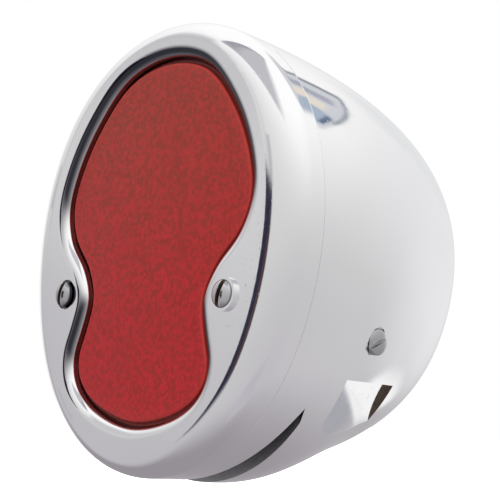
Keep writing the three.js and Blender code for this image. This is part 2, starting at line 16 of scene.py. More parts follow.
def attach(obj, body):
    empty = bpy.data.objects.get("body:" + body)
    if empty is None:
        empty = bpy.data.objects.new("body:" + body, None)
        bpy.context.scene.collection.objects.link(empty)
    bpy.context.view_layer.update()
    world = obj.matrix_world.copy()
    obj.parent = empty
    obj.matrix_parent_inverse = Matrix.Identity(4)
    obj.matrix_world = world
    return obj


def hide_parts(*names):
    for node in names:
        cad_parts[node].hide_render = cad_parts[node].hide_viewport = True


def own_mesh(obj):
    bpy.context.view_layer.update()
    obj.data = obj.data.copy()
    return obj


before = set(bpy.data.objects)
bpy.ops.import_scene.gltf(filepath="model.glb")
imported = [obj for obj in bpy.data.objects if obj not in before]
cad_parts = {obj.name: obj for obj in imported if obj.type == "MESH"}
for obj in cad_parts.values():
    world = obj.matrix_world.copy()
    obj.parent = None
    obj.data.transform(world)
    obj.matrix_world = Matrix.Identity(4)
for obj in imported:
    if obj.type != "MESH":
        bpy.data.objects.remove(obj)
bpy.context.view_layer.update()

MM = 0.001
SHARP_ANGLE = math.radians(32)

# Overall lamp
LAMP_DEPTH = 101.0
NOSE_DEPTH = 102.0
SEAM = 10.8
FACE_HARMONICS = Sizes(mean=60.13, sin1=0.468, cos2=-3.495, sin3=0.464, cos4=-0.118)
HALF_WIDTH = 56.5
FACE_TOP = 63.5
FACE_BOTTOM = 63.4
WIDTH_FALL = (1.21, 4.92)
TOP_FALL = (2.14, 4.03)
BOTTOM_FALL = (1.45, 4.98)
NOSE_HEIGHT = 2.5
BELLY = 2.9
BELLY_END = 0.6

# Casting
WALL = 3.2
RIM_INSET = 7.0
RIM_BACK = 14.2
SPIGOT_INSET = 4.4
SPIGOT_FRONT = 9.1
PAD_FRONT = LAMP_DEPTH - 7.0
SEAM_GAP = 0.06
EDGE_BREAK = 0.08

# Bezel and lens
SHOULDER_MEAN = 8.0
SHOULDER_SIDES = 2.0
SHOULDER_DROP = 6.5
BEZEL_WALL = 4.2
SKIRT = 4.1
OPENING_ROUND = Sizes(width=3.5, depth=2.2)
OPENING_HALF = [
    (0, 53), (17.4, 49), (30, 36.9), (37.7, 23.3), (40.2, 12), (37, 1.9), (29.1, -7), (25.4, -15.3),
    (27.3, -24.4), (29.6, -32), (27.9, -39), (20, -45.6), (0, -50.4),
]
LENS_FLANGE = Sizes(front=4.5, back=7.0, inset=4.6)
LENS_BODY_FRONT = 3.4
LENS_PAD_FRONT = 2.0
LENS_PAD_INSET = 1.6
LENS_PAD_ROUND = 0.9
LENS_CROWN = 0.5
LENS_WALL = 2.6
GASKET = Sizes(front=7.3, back=8.8, outer=4.6, inner=7.4)

# Fasteners
BEZEL_SCREW = Sizes(x=34.7, z=-14.3, head=3.7, dome=2.2, shank=1.95, length=24.0)
BEZEL_HOLE = 2.3
SINK_GAP = 0.45
BEZEL_BOSS = 4.2
BOSS_GAP = 0.5
BODY_BOSS_BACK = 30.0
WEB = Sizes(half=1.6, gap=1.5)
SIDE_SCREW = Sizes(depth=43.0, z=-21.7, head=3.6, shank=2.0, hole=2.3, seat=47.6, top=50.0)
SIDE_SEAT_RADIUS = 4.0
SIDE_NUT = Sizes(inner=37.8, outer=41.1, size=6.4)
SCREW_SLOT = Sizes(width=1.1, depth=0.9)
BEZEL_SLOT_HALF = 0.7
BEZEL_SLOT_TURN = {"left": -80, "right": -75}
SIDE_SLOT_TURN = 28

# Underside
PLATE_SLOT = Sizes(rear=26.3, front=17.2, tip_depth=24.6, tip_x=42.4, top=-38.0)
WINDOW = Sizes(front=15.0, back=29.4, thickness=1.8, top=-36.0, gap=0.3)
NOTCH = Sizes(front=36.0, back=64.0, top=-32.5, bottom=-72.0, start=45.9, sink=0.31, lean=0.62)
NOTCH_OUTSIDE = 70.0

# Inside
PLATE = Sizes(front=36.0, back=37.0, grow=2.0)
YOKE = Sizes(front=37.3, back=39.3, top=-17.5, bottom=-24.5, half=43.4, ear=2.0, ear_back=48.0)
YOKE_HEIGHT = (YOKE.top + YOKE.bottom) / 2
LEAD_HOLE = 2.5
SHEET_CUT = (30, 45)             # depths between which a cutter passes the plate and the yoke
EAR_CUT = (38, 46)               # distances from the middle between which one passes a yoke's ear
RIVET = Sizes(x=20.0, head=2.6, shank=1.5)
LAMPS = (("upper", 18.0), ("lower", -36.0))
SOCKET = Sizes(inner=7.8, outer=8.8, flange=11.0, front=35.8, floor=66.5, back=67.7, hole=3.4)
TWIST = 20.0
PUSH = 2.0
PIN = Sizes(radius=1.0, reach=8.6, depth=45.0, clear=0.4)
SPRING = Sizes(radius=5.2, wire=0.45, front=57.8, back=65.7, turns=5)

# Rear pad
STUD = Sizes(x=15.0, radius=3.0, start=95.3, end=118.0, pitch=1.0)
STUD_HOLE = 3.3
WASHER = Sizes(inner=3.3, outer=6.2, front=104.0, back=105.2)
NUT = Sizes(across=10.0, front=105.5, back=110.5)
GROMMET = Sizes(z=-14.0, bore=3.2, groove=5.2, flange=7.4, seat=7.8, seat_depth=2.6, hole=5.5)

RING = 256                       # points round the face and the body
BODY_RINGS = 64
ROUND_STEPS = 10
# How far a point may be off the body's outer surface, as a share of the body's size, to count as
# on it, and the limits in from it of the outside, of the slot's wall and of the inside
SURFACE_LEVEL = 0.0012
SKIN_LEVEL = -0.004
SLOT_LEVEL = -0.075
INSIDE_LEVEL = -0.045
SAME_DIRECTION = 0.93            # cosine of the angle within which a face follows the body's surface


# --- Meshes ---

def to_metres(points):
    return (np.asarray(points, float) + (0.0, -LAMP_DEPTH, 0.0)) * MM


def to_millimetres(points):
    """Back to (x, depth, z), the way the shapes are laid out."""
    return points / MM + (0, LAMP_DEPTH, 0)


def read(items, field, width=3, kind=float):
    """One field of all the vertices, corners or faces as an array."""
    values = np.zeros(len(items) * width, kind)
    items.foreach_get(field, values)
    return values.reshape(-1, width) if width > 1 else values


def full_turn(count):
    return np.linspace(0, 2 * math.pi, count, endpoint=False)


def quarter(steps=ROUND_STEPS):
    return np.linspace(0, math.pi / 2, steps + 1)


def add_object(name, data):
    obj = bpy.data.objects.new(name, data)
    bpy.context.scene.collection.objects.link(obj)
    return obj


def make_object(name, points, faces):
    mesh = bpy.data.meshes.new(name)
    mesh.from_pydata(to_metres(points).tolist(), [], faces)
    face_outwards(mesh)
    return add_object(name, mesh)


def face_outwards(mesh):
    work = bmesh.new()
    work.from_mesh(mesh)
    bmesh.ops.recalc_face_normals(work, faces=work.faces)
    if work.calc_volume(signed=True) < 0:
        bmesh.ops.reverse_faces(work, faces=work.faces)
    work.to_mesh(mesh)
    work.free()


def band_faces(first, second, count):
    """Quads between two rings of count points that start at those indices."""
    faces = []
    for j in range(count):
        k = (j + 1) % count
        faces.append((first + j, first + k, second + k, second + j))
    return faces


def loft(name, rings, ring_loop=False):
    """A closed solid through equally long rings. It has end caps, or joins its last ring to its first."""
    count = len(rings[0])
    points = np.concatenate([np.asarray(ring, float) for ring in rings])
    faces = []
    for i in range(len(rings) - 1):
        faces += band_faces(i * count, (i + 1) * count, count)
    last = (len(rings) - 1) * count
    if ring_loop:
        faces += band_faces(last, 0, count)
    else:
        faces.append(tuple(range(count)))
        faces.append(tuple(range(last, last + count)))
    return make_object(name, points, faces)


def lathe(name, profile, x=0.0, z=0.0, count=64):
    """A piece turned about the Y axis at (x, z); the profile is (radius, depth) pairs, and a
    radius of 0 closes an end. A profile that meets no axis joins up as a ring."""
    closed = profile[0][0] > 0 and profile[-1][0] > 0
    angles = full_turn(count)
    points, faces, starts = [], [], []
    for radius, depth in profile:
        starts.append(len(points))
        if radius == 0:
            points.append((x, depth, z))
        else:
            points += [(x + radius * math.cos(a), depth, z + radius * math.sin(a)) for a in angles]
    pairs = list(zip(range(len(profile)), range(1, len(profile))))
    if closed:
        pairs.append((len(profile) - 1, 0))
    for a, b in pairs:
        if profile[a][0] == 0 or profile[b][0] == 0:
            tip, rim = (starts[a], starts[b]) if profile[a][0] == 0 else (starts[b], starts[a])
            faces += [(tip, rim + j, rim + (j + 1) % count) for j in range(count)]
        else:
            faces += band_faces(starts[a], starts[b], count)
    return make_object(name, points, faces)


def rod(radius, front, back):
    """The profile of a plain solid cylinder."""
    return [(0, front), (radius, front), (radius, back), (0, back)]


def cylinder(name, radius, front, back, x=0.0, z=0.0, count=64):
    return lathe(name, rod(radius, front, back), x, z, count)


def crown(radius, top, drop, power=1):
    """The rounded top of a screw or rivet, from its middle out, as (radius, depth) pairs."""
    return [(radius * math.sin(a) ** power, top + drop * (1 - math.cos(a))) for a in quarter(8)]


def box(name, x0, x1, y0, y1, z0, z1, edge=0.0, segments=3):
    corners = [(x, y, z) for x in (x0, x1) for y in (y0, y1) for z in (z0, z1)]
    faces = [(0, 1, 3, 2), (4, 6, 7, 5), (0, 4, 5, 1), (2, 3, 7, 6), (0, 2, 6, 4), (1, 5, 7, 3)]
    obj = make_object(name, corners, faces)
    if edge:
        round_edges(obj, edge, segments)
    return obj


def round_edges(obj, width, segments=3, angle=40):
    bevel = obj.modifiers.new("round", "BEVEL")
    bevel.width = width * MM
    bevel.segments = segments
    bevel.limit_method = "ANGLE"
    bevel.angle_limit = math.radians(angle)
    apply_modifiers(obj)


def apply_modifiers(obj):
    graph = bpy.context.evaluated_depsgraph_get()
    mesh = bpy.data.meshes.new_from_object(obj.evaluated_get(graph))
    old = obj.data
    obj.modifiers.clear()
    obj.data = mesh
    bpy.data.meshes.remove(old)


def combine(target, tool, operation):
    modifier = target.modifiers.new("boolean", "BOOLEAN")
    modifier.operation = operation
    modifier.solver = "EXACT"
    modifier.object = tool
    apply_modifiers(target)
    bpy.data.objects.remove(tool)
    return target


def cut(target, *tools):
    for tool in tools:
        combine(target, tool, "DIFFERENCE")
    return target


def join(target, *tools):
    for tool in tools:
        combine(target, tool, "UNION")
    return target


def transformed(obj, matrix):
    obj.data.transform(matrix)
    if matrix.determinant() < 0:
        obj.data.flip_normals()
    return obj


def mirror_x(obj):
    return transformed(obj, Matrix.Scale(-1, 4, (1, 0, 0)))


def turned_about_y(obj, degrees, x=0.0, z=0.0):
    """Turns by the right-hand rule about the Y axis through (x, z), both in millimetres."""
    centre = Vector((x * MM, 0, z * MM))
    turn = Matrix.Rotation(math.radians(degrees), 4, "Y")
    return transformed(obj, Matrix.Translation(centre) @ turn @ Matrix.Translation(-centre))


def both_sides(make):
    """The tool that make(name) gives on the right, and its mirror image on the left."""
    return make("tool_right"), mirror_x(make("tool_left"))


# --- Outlines ---

def face_radius(angle):
    h = FACE_HARMONICS
    return (h.mean + h.sin1 * np.sin(angle) + h.cos2 * np.cos(2 * angle)
            + h.sin3 * np.sin(3 * angle) + h.cos4 * np.cos(4 * angle))


def outward(outline):
    along = np.roll(outline, -1, axis=0) - np.roll(outline, 1, axis=0)
    along /= np.linalg.norm(along, axis=1)[:, None]
    return np.stack([along[:, 1], -along[:, 0]], axis=1)


def catmull_rom(points, per_span=40):
    """A closed centripetal curve through the points."""
    points = np.asarray(points, float)
    count = len(points)
    samples = []
    for i in range(count):
        p0, p1, p2, p3 = (points[(i + k) % count] for k in (-1, 0, 1, 2))
        t0, t1, t2 = (math.sqrt(np.linalg.norm(b - a)) for a, b in ((p0, p1), (p1, p2), (p2, p3)))
        m1 = ((p1 - p0) / t0 - (p2 - p0) / (t0 + t1) + (p2 - p1) / t1) * t1
        m2 = ((p2 - p1) / t1 - (p3 - p1) / (t1 + t2) + (p3 - p2) / t2) * t1
        t = (np.arange(per_span) / per_span)[:, None]
        samples.append(p1 + m1 * t + (3 * (p2 - p1) - 2 * m1 - m2) * t ** 2
                       + (2 * (p1 - p2) + m1 + m2) * t ** 3)
    return np.concatenate(samples)


def spaced(curve, count):
    closed = np.vstack([curve, curve[:1]])
    length = np.concatenate([[0], np.cumsum(np.linalg.norm(np.diff(closed, axis=0), axis=1))])
    at = np.linspace(0, length[-1], count, endpoint=False)
    return np.stack([np.interp(at, length, closed[:, k]) for k in (0, 1)], axis=1)


def smoothed(outline, passes=3):
    for _ in range(passes):
        outline = (np.roll(outline, 1, axis=0) + 2 * outline + np.roll(outline, -1, axis=0)) / 4
    return outline


def opening_outline():
    left = [(-x, z) for x, z in OPENING_HALF]
    right = list(reversed(OPENING_HALF[1:-1]))
    return smoothed(spaced(catmull_rom(left + right), RING))


OPENING = opening_outline()
ANGLES = np.unwrap(np.arctan2(OPENING[:, 1], OPENING[:, 0]))
FACE = np.stack([face_radius(ANGLES) * np.cos(ANGLES), face_radius(ANGLES) * np.sin(ANGLES)], axis=1)
FACE_OUT = outward(FACE)
OPENING_OUT = outward(OPENING)
SHOULDER_WIDTH = SHOULDER_MEAN + SHOULDER_SIDES * np.cos(2 * ANGLES)


def face_ring(inset, depth):
    return at_depth(FACE - FACE_OUT * np.reshape(inset, (-1, 1)), depth)


def opening_ring(grow, depth):
    return at_depth(OPENING + OPENING_OUT * grow, depth)


def at_depth(outline, depth):
    return np.stack([outline[:, 0], np.full(len(outline), float(depth)), outline[:, 1]], axis=1)


# --- The bullet body ---

def fall(u, powers):
    power, root = powers
    return np.maximum(1 - u ** power, 0) ** (1 / root)


def body_section(depth):
    """Half width, top, bottom and middle height of the body at a depth."""
    u = np.clip((depth - SEAM) / (NOSE_DEPTH - SEAM), 0, 1)
    middle = NOSE_HEIGHT * u
    belly = BELLY * np.sin(math.pi * np.minimum(u / BELLY_END, 1)) ** 2
    half = HALF_WIDTH * fall(u, WIDTH_FALL)
    top = NOSE_HEIGHT + (FACE_TOP - NOSE_HEIGHT) * fall(u, TOP_FALL)
    bottom = NOSE_HEIGHT - (FACE_BOTTOM + NOSE_HEIGHT) * fall(u, BOTTOM_FALL) - belly
    return half, top, bottom, middle


def body_ring(depth, inset=0.0):
    half, top, bottom, middle = body_section(depth)
    top, bottom, half = top - inset, bottom + inset, half - inset
    x, z = FACE[:, 0], FACE[:, 1]
    height = np.where(z > 0, middle + z / FACE_TOP * (top - middle),
                      middle + z / FACE_BOTTOM * (middle - bottom))
    return np.stack([x * half / HALF_WIDTH, np.full(len(x), float(depth)), height], axis=1)


def body_depths(front, back, count):
    return front + (back - front) * np.sin(np.linspace(0, math.pi / 2, count + 1))


def body_level(points):
    """Below 0 inside the body's outer surface and above 0 outside it; points in millimetres."""
    x, depth, z = points[:, 0], points[:, 1], points[:, 2]
    half, top, bottom, middle = body_section(depth)
    flat_x = x * HALF_WIDTH / half
    flat_z = np.where(z > middle, (z - middle) / (top - middle) * FACE_TOP,
                      (z - middle) / (middle - bottom) * FACE_BOTTOM)
    return np.hypot(flat_x, flat_z) / face_radius(np.arctan2(flat_z, flat_x)) - 1


def body_normals(points, step=0.02):
    gradient = np.stack([body_level(points + offset) - body_level(points - offset)
                         for offset in np.eye(3) * step], axis=1)
    return gradient / np.maximum(np.linalg.norm(gradient, axis=1)[:, None], 1e-9)


def smooth_body_normals(obj):
    """Gives the polished outer surface its exact normals, so no reflection shows the cuts' facets."""
    mesh = obj.data
    place = to_millimetres(read(mesh.vertices, "co"))
    inside = (place[:, 1] > SEAM + 0.3) & (place[:, 1] < LAMP_DEPTH - 0.05)
    on_surface = np.zeros(len(place), bool)
    on_surface[inside] = np.abs(body_level(place[inside])) < SURFACE_LEVEL
    exact = np.zeros((len(place), 3))
    exact[on_surface] = body_normals(place[on_surface])
    wanted = exact[read(mesh.loops, "vertex_index", 1, int)]
    sizes = read(mesh.polygons, "loop_total", 1, int)
    face_of = np.repeat(np.arange(len(sizes)), sizes)
    agrees = (wanted * read(mesh.polygons, "normal")[face_of]).sum(axis=1) > SAME_DIRECTION
    on_floor = in_notch_floor(*to_millimetres(read(mesh.polygons, "center")).T)
    wanted[~agrees | on_floor[face_of]] = 0
    mesh.normals_split_custom_set(wanted.tolist())


# --- Finishing a piece ---

MATERIALS = {}
HOUSING = "housing_body"
BEZEL = "bezel_assembly"


def finish_piece(obj, slot, node=None, body=HOUSING, material=None):
    """Shades a piece, gives it its material and ties it to its CAD body and node."""
    mesh = obj.data
    mesh.materials.clear()
    mesh.materials.append(MATERIALS[material or slot])
    mesh.polygons.foreach_set("use_smooth", [True] * len(mesh.polygons))
    mesh.set_sharp_from_angle(angle=SHARP_ANGLE)
    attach(obj, body)
    if node:
        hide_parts(node)
    return obj


# --- Node helpers ---

class Graph:
    """Short calls that add shader nodes and return their output sockets."""

    def __init__(self, tree):
        self.tree = tree

    def add(self, kind, inputs=None, **settings):
        node = self.tree.nodes.new(kind)
        for key, value in settings.items():
            setattr(node, key, value)
        for key, value in (inputs or {}).items():
            self.feed(node.inputs[key], value)
        return node

    def feed(self, socket, value):
        if isinstance(value, bpy.types.NodeSocket):
            self.tree.links.new(value, socket)
        else:
            socket.default_value = value

    def place(self, stretch=(1, 1, 1)):
        coordinates = self.add("ShaderNodeTexCoord")
        mapping = self.add("ShaderNodeMapping", {"Vector": coordinates.outputs["Object"], "Scale": stretch})
        return mapping.outputs["Vector"]

    def noise(self, scale, detail=2.0, stretch=(1, 1, 1), rough=0.5):
        node = self.add("ShaderNodeTexNoise", {
            "Vector": self.place(stretch), "Scale": scale, "Detail": detail, "Roughness": rough})
        return node.outputs["Fac"]

    def cloud(self, scale, detail, low, high, to_low=0.0, to_high=1.0):
        return self.spread(self.noise(scale, detail), low, high, to_low, to_high)

    def spread(self, value, low, high, to_low=0.0, to_high=1.0, smooth=False):
        node = self.add("ShaderNodeMapRange", {
            "Value": value, "From Min": low, "From Max": high, "To Min": to_low, "To Max": to_high})
        if smooth:
            node.interpolation_type = "SMOOTHSTEP"
        return node.outputs["Result"]

    def math(self, operation, *values):
        node = self.add("ShaderNodeMath", operation=operation)
        for socket, value in zip(node.inputs, values):
            self.feed(socket, value)
        return node.outputs[0]

    def mix(self, factor, first, second):
        node = self.add("ShaderNodeMix", data_type="RGBA")
        self.feed(node.inputs["Factor"], factor)
        self.feed(node.inputs["A"], first)
        self.feed(node.inputs["B"], second)
        return node.outputs["Result"]

    def bump(self, height, distance, strength=1.0, normal=None):
        inputs = {"Height": height, "Distance": distance, "Strength": strength}
        if normal is not None:
            inputs["Normal"] = normal
        return self.add("ShaderNodeBump", inputs).outputs["Normal"]

    def surface(self, shader, color, rough, normal):
        for socket, value in (("Base Color", color), ("Roughness", rough), ("Normal", normal)):
            self.feed(shader.inputs[socket], value)


def rgba(color):
    return (*color, 1.0)


def principled(name, **constants):
    """A material, its node helper and its shader. Constants go on the shader's own sockets."""
    material = bpy.data.materials.new(name)
    material.use_nodes = True
    shader = material.node_tree.nodes["Principled BSDF"]
    for socket, value in constants.items():
        shader.inputs[socket.replace("_", " ")].default_value = value
    MATERIALS[name] = material
    return Graph(material.node_tree), shader


def metal(name, light, dark, rough, grain, stretch=(1, 1, 1), bump=0.00001, wear=0.0, pits=0.0):
    """A metal whose tone and roughness drift, with a fine grain and, where given, paler edges and pits."""
    graph, shader = principled(name, Metallic=1.0)
    drift = graph.cloud(45, 3, 0.35, 0.65)
    tone = graph.mix(drift, rgba(light), rgba(dark))
    lines = graph.noise(grain, 4, stretch)
    if wear:
        edges = graph.spread(graph.add("ShaderNodeNewGeometry").outputs["Pointiness"], 0.52, 0.6)
        paler = rgba([min(1, 1.25 * c) for c in light])
        tone = graph.mix(graph.math("MULTIPLY", edges, wear), tone, paler)
    gloss = graph.math("ADD", graph.cloud(180, 4, 0.3, 0.7, rough[0], rough[1]),
                       graph.spread(lines, 0.3, 0.7, -0.01, 0.01))
    normal = graph.bump(lines, bump)
    if pits:
        holes = graph.cloud(900, 1, 0.68, 0.76, 1, 0)
        normal = graph.bump(holes, pits, 0.6, normal)
    graph.surface(shader, tone, gloss, normal)
    return graph, shader


# --- Materials ---

def polished_casting():
    """Hand-polished aluminium: a soft mirror with slow waves, fine buffing lines and tiny pits."""
    graph, shader = principled("casting", Metallic=1.0)
    drift = graph.cloud(22, 2, 0.35, 0.65)
    bright = graph.mix(drift, rgba((0.94, 0.935, 0.94)), rgba((0.90, 0.895, 0.905)))
    # The attribute read here is painted shade on the bezel: the opening's overhanging edge and the screw
    # sinks go nearly black.
    painted_shade = graph.add("ShaderNodeAttribute", attribute_name="painted_shade").outputs["Fac"]
    tone = graph.mix(painted_shade, bright, rgba((0.02, 0.022, 0.035)))
    cloud = graph.cloud(60, 3, 0.3, 0.7, 0.03, 0.06)
    buffing = graph.noise(700, 3, (1, 0.12, 1))
    gloss = graph.math("ADD", cloud, graph.spread(buffing, 0.35, 0.7, 0, 0.03))
    waves = graph.bump(graph.noise(26, 1), 0.00022, 0.6)
    lines = graph.bump(buffing, 0.0000035, 1.0, waves)
    pits = graph.cloud(1100, 1, 0.72, 0.8, 1, 0)
    graph.surface(shader, tone, gloss, graph.bump(pits, 0.00002, 0.5, lines))


def red_lens():
    """Moulded red plastic: mottled, browner towards the top, redder below, with a painted highlight on the
    pad's rim and painted shade in its groove.
    """
    graph, shader = principled("lens_red", Coat_Weight=0.06, Coat_Roughness=0.2, IOR=1.45,
                               Specular_IOR_Level=0.3, Subsurface_Weight=0.1,
                               Subsurface_Radius=(0.004, 0.0006, 0.0006), Subsurface_Scale=0.4)
    place = graph.add("ShaderNodeSeparateXYZ", {"Vector": graph.place()})
    upper = graph.spread(place.outputs["Z"], -0.035, 0.05, smooth=True)
    red = graph.mix(upper, rgba((0.53, 0.016, 0.024)), rgba((0.44, 0.034, 0.024)))
    brown = graph.mix(upper, rgba((0.34, 0.02, 0.016)), rgba((0.26, 0.036, 0.02)))
    blotch = graph.spread(graph.noise(820, 2, rough=0.6), 0.4, 0.6)
    tone = graph.mix(blotch, brown, red)
    clouds = graph.cloud(60, 2, 0.3, 0.7, 0, 0.3)
    tone = graph.mix(clouds, tone, rgba((0.38, 0.02, 0.02)))
    depth = graph.math("ADD", place.outputs["Y"], LAMP_DEPTH * MM)
    # Painted highlight: a paler red where the pad's edge starts to round off.
    rim = graph.spread(depth, (LENS_PAD_FRONT - 0.05) * MM, (LENS_PAD_FRONT + 0.25) * MM)
    tone = graph.mix(graph.math("MULTIPLY", rim, 0.6), tone, rgba((0.66, 0.06, 0.05)))
    # Painted shade: the groove floor goes nearly black-red.
    groove = graph.spread(depth, (LENS_PAD_FRONT + 0.35) * MM, (LENS_BODY_FRONT - 0.2) * MM)
    tone = graph.mix(graph.math("MULTIPLY", groove, 0.85), tone, rgba((0.1, 0.012, 0.008)))
    gloss = graph.cloud(500, 3, 0.3, 0.7, 0.36, 0.5)
    graph.surface(shader, tone, gloss, graph.bump(graph.noise(700, 2), 0.00005, 0.6))


def screws_with_painted_foot_shade():
    """Chromed screw heads with painted shade: a dark ring round the foot of the head, where it meets the
    bezel.
    """
    light, dark, rough = (0.62, 0.62, 0.63), (0.36, 0.36, 0.38), (0.06, 0.14)
    graph, shader = metal("chrome_with_painted_foot_shade", light, dark, rough, 1500, wear=0.3)
    depth = graph.add("ShaderNodeSeparateXYZ", {"Vector": graph.place()}).outputs["Y"]
    top = -(LAMP_DEPTH + BEZEL_SCREW.dome + 0.1) * MM
    # Painted shade: the colour goes dark near the foot of the head.
    foot = graph.spread(depth, top + 0.9 * MM, top + 1.3 * MM)
    unshaded_tone = shader.inputs["Base Color"].links[0].from_socket
    graph.feed(shader.inputs["Base Color"], graph.mix(foot, unshaded_tone, rgba((0.04, 0.04, 0.05))))


def moulded(name, light, dark, rough, grain, bump):
    """Rubber, fibre board or black glass: a mottled tone with its own grain."""
    graph, shader = principled(name)
    mottle = graph.cloud(grain * 0.3, 4, 0.3, 0.7)
    tone = graph.mix(mottle, rgba(light), rgba(dark))
    gloss = graph.cloud(grain * 0.6, 3, 0.3, 0.7, *rough)
    graph.surface(shader, tone, gloss, graph.bump(graph.noise(grain, 4), bump))


def clear(name, tint, rough):
    """Clear glass or plastic with faint smears and ripples."""
    graph, shader = principled(name, Transmission_Weight=1.0, IOR=1.49)
    smear = graph.cloud(140, 4, 0.35, 0.7)
    tone = graph.mix(smear, rgba(tint), rgba([0.96 * c for c in tint]))
    gloss = graph.cloud(220, 4, 0.4, 0.75, *rough)
    graph.surface(shader, tone, gloss, graph.bump(graph.noise(160, 2), 0.00002, 0.5))


def make_materials():
    polished_casting()
    red_lens()
    moulded("rubber", (0.035, 0.034, 0.034), (0.02, 0.02, 0.021), (0.6, 0.85), 900, 0.00006)
    moulded("fibre", (0.23, 0.12, 0.06), (0.13, 0.065, 0.035), (0.55, 0.8), 1400, 0.00005)
    moulded("base_glass", (0.02, 0.02, 0.024), (0.035, 0.03, 0.035), (0.12, 0.3), 500, 0.00002)
    metal("as_cast", (0.5, 0.5, 0.51), (0.36, 0.36, 0.38), (0.5, 0.62), 1300, bump=0.00012, pits=0.00008)
    # Dark brown metal: painted shade in the bezel screws' slots, and the darker walls of the plate slot and
    # the notches.
    metal("dark_brown_metal", (0.22, 0.17, 0.13), (0.1, 0.075, 0.06), (0.35, 0.5), 900, bump=0.00008, pits=0.00005)
    metal("screw_chrome", (0.5, 0.5, 0.51), (0.3, 0.3, 0.32), (0.08, 0.18), 1500, wear=0.5, pits=0.00004)
    screws_with_painted_foot_shade()
    metal("zinc_steel", (0.62, 0.64, 0.66), (0.5, 0.53, 0.56), (0.28, 0.42), 1200, (1, 0.2, 1), 0.00002,
          wear=0.6, pits=0.00003)
    metal("reflector", (0.9, 0.9, 0.91), (0.8, 0.81, 0.83), (0.14, 0.22), 900, (1, 1, 0.1), wear=0.3)
    metal("brass", (0.78, 0.57, 0.25), (0.6, 0.41, 0.17), (0.2, 0.36), 1100, (1, 0.15, 1), 0.00002, wear=0.5)
    metal("spring_steel", (0.55, 0.55, 0.56), (0.42, 0.42, 0.44), (0.22, 0.36), 1600)
    clear("window_clear", (0.93, 0.96, 0.97), (0.02, 0.1))
    clear("bulb_glass", (0.98, 0.99, 0.99), (0.0, 0.03))


# --- Bezel and lens ---

def bezel_ring():
    rings = [
        face_ring(EDGE_BREAK, SEAM),
        face_ring(0, SEAM - EDGE_BREAK),
        face_ring(0, SHOULDER_DROP + 0.6),
    ]
    for angle in reversed(quarter(18)):
        inset = SHOULDER_WIDTH * (1 - math.sin(angle))
        rings.append(face_ring(inset, SHOULDER_DROP * (1 - math.cos(angle))))
    rings.append(face_ring(SHOULDER_WIDTH + 0.3, 0))
    rings.append(opening_ring(OPENING_ROUND.width + 0.3, 0))
    for angle in quarter(14):
        grow = OPENING_ROUND.width * (1 - math.sin(angle))
        rings.append(opening_ring(grow, OPENING_ROUND.depth * (1 - math.cos(angle))))
    rings += [
        opening_ring(0, BEZEL_WALL - EDGE_BREAK),
        opening_ring(EDGE_BREAK, BEZEL_WALL),
        face_ring(SKIRT, BEZEL_WALL),
        face_ring(SKIRT, SEAM),
    ]
    ring = loft("bezel_ring", rings, ring_loop=True)
    sink = BEZEL_SCREW.head + SINK_GAP
    hole = [(0, -1), (sink + 0.3, -1), (sink + 0.3, -0.01), (sink, 0.3), (BEZEL_HOLE, 0.5),
            (BEZEL_HOLE, SEAM), (0, SEAM)]
    for side in (-1, 1):
        x, z = side * BEZEL_SCREW.x, BEZEL_SCREW.z
        join(ring, cylinder("boss", BEZEL_BOSS, 1.0, SPIGOT_FRONT - 0.3, x, z))
        cut(ring, lathe("hole", hole, x, z))
    finish_piece(ring, "casting", "bezel", BEZEL)
    paint_opening_shade(ring)
    return ring


def paint_opening_shade(ring):
    """Paints shade into the bezel's colour: a dark band on the lens opening's overhanging edge for its dark
    reflection, and painted shadow in the screw sinks.
    """
    mesh = ring.data
    x, depth, z = to_millimetres(read(mesh.vertices, "co")).T
    overhang = read(mesh.vertices, "normal")[:, 2]
    around = np.arctan2(z, x)
    inner = np.interp(around, ANGLES, np.hypot(*OPENING.T), period=2 * math.pi)
    near = np.hypot(x, z) < (inner + face_radius(around)) / 2
    # Painted shade: the band darkens where the opening's edge faces downwards.
    deep = np.clip(depth / 0.2, 0, 1) * (1 - 0.6 * np.clip((depth - 0.7) / 1.2, 0, 1))
    under = np.clip((0.25 - overhang) / 0.35, 0, 1)
    painted_shade = np.where(near & (depth < BEZEL_WALL + 0.1), 0.97 * deep * under ** 2 * (3 - 2 * under), 0)
    # Painted shadow in the screw sinks.
    sink = np.hypot(np.abs(x) - BEZEL_SCREW.x, z - BEZEL_SCREW.z) < BEZEL_SCREW.head + SINK_GAP + 0.05
    painted_shade = np.where(sink & (depth > 0.1), 0.9, painted_shade)
    mesh.attributes.new("painted_shade", "FLOAT", "POINT").data.foreach_set("value", painted_shade.astype(np.float32))


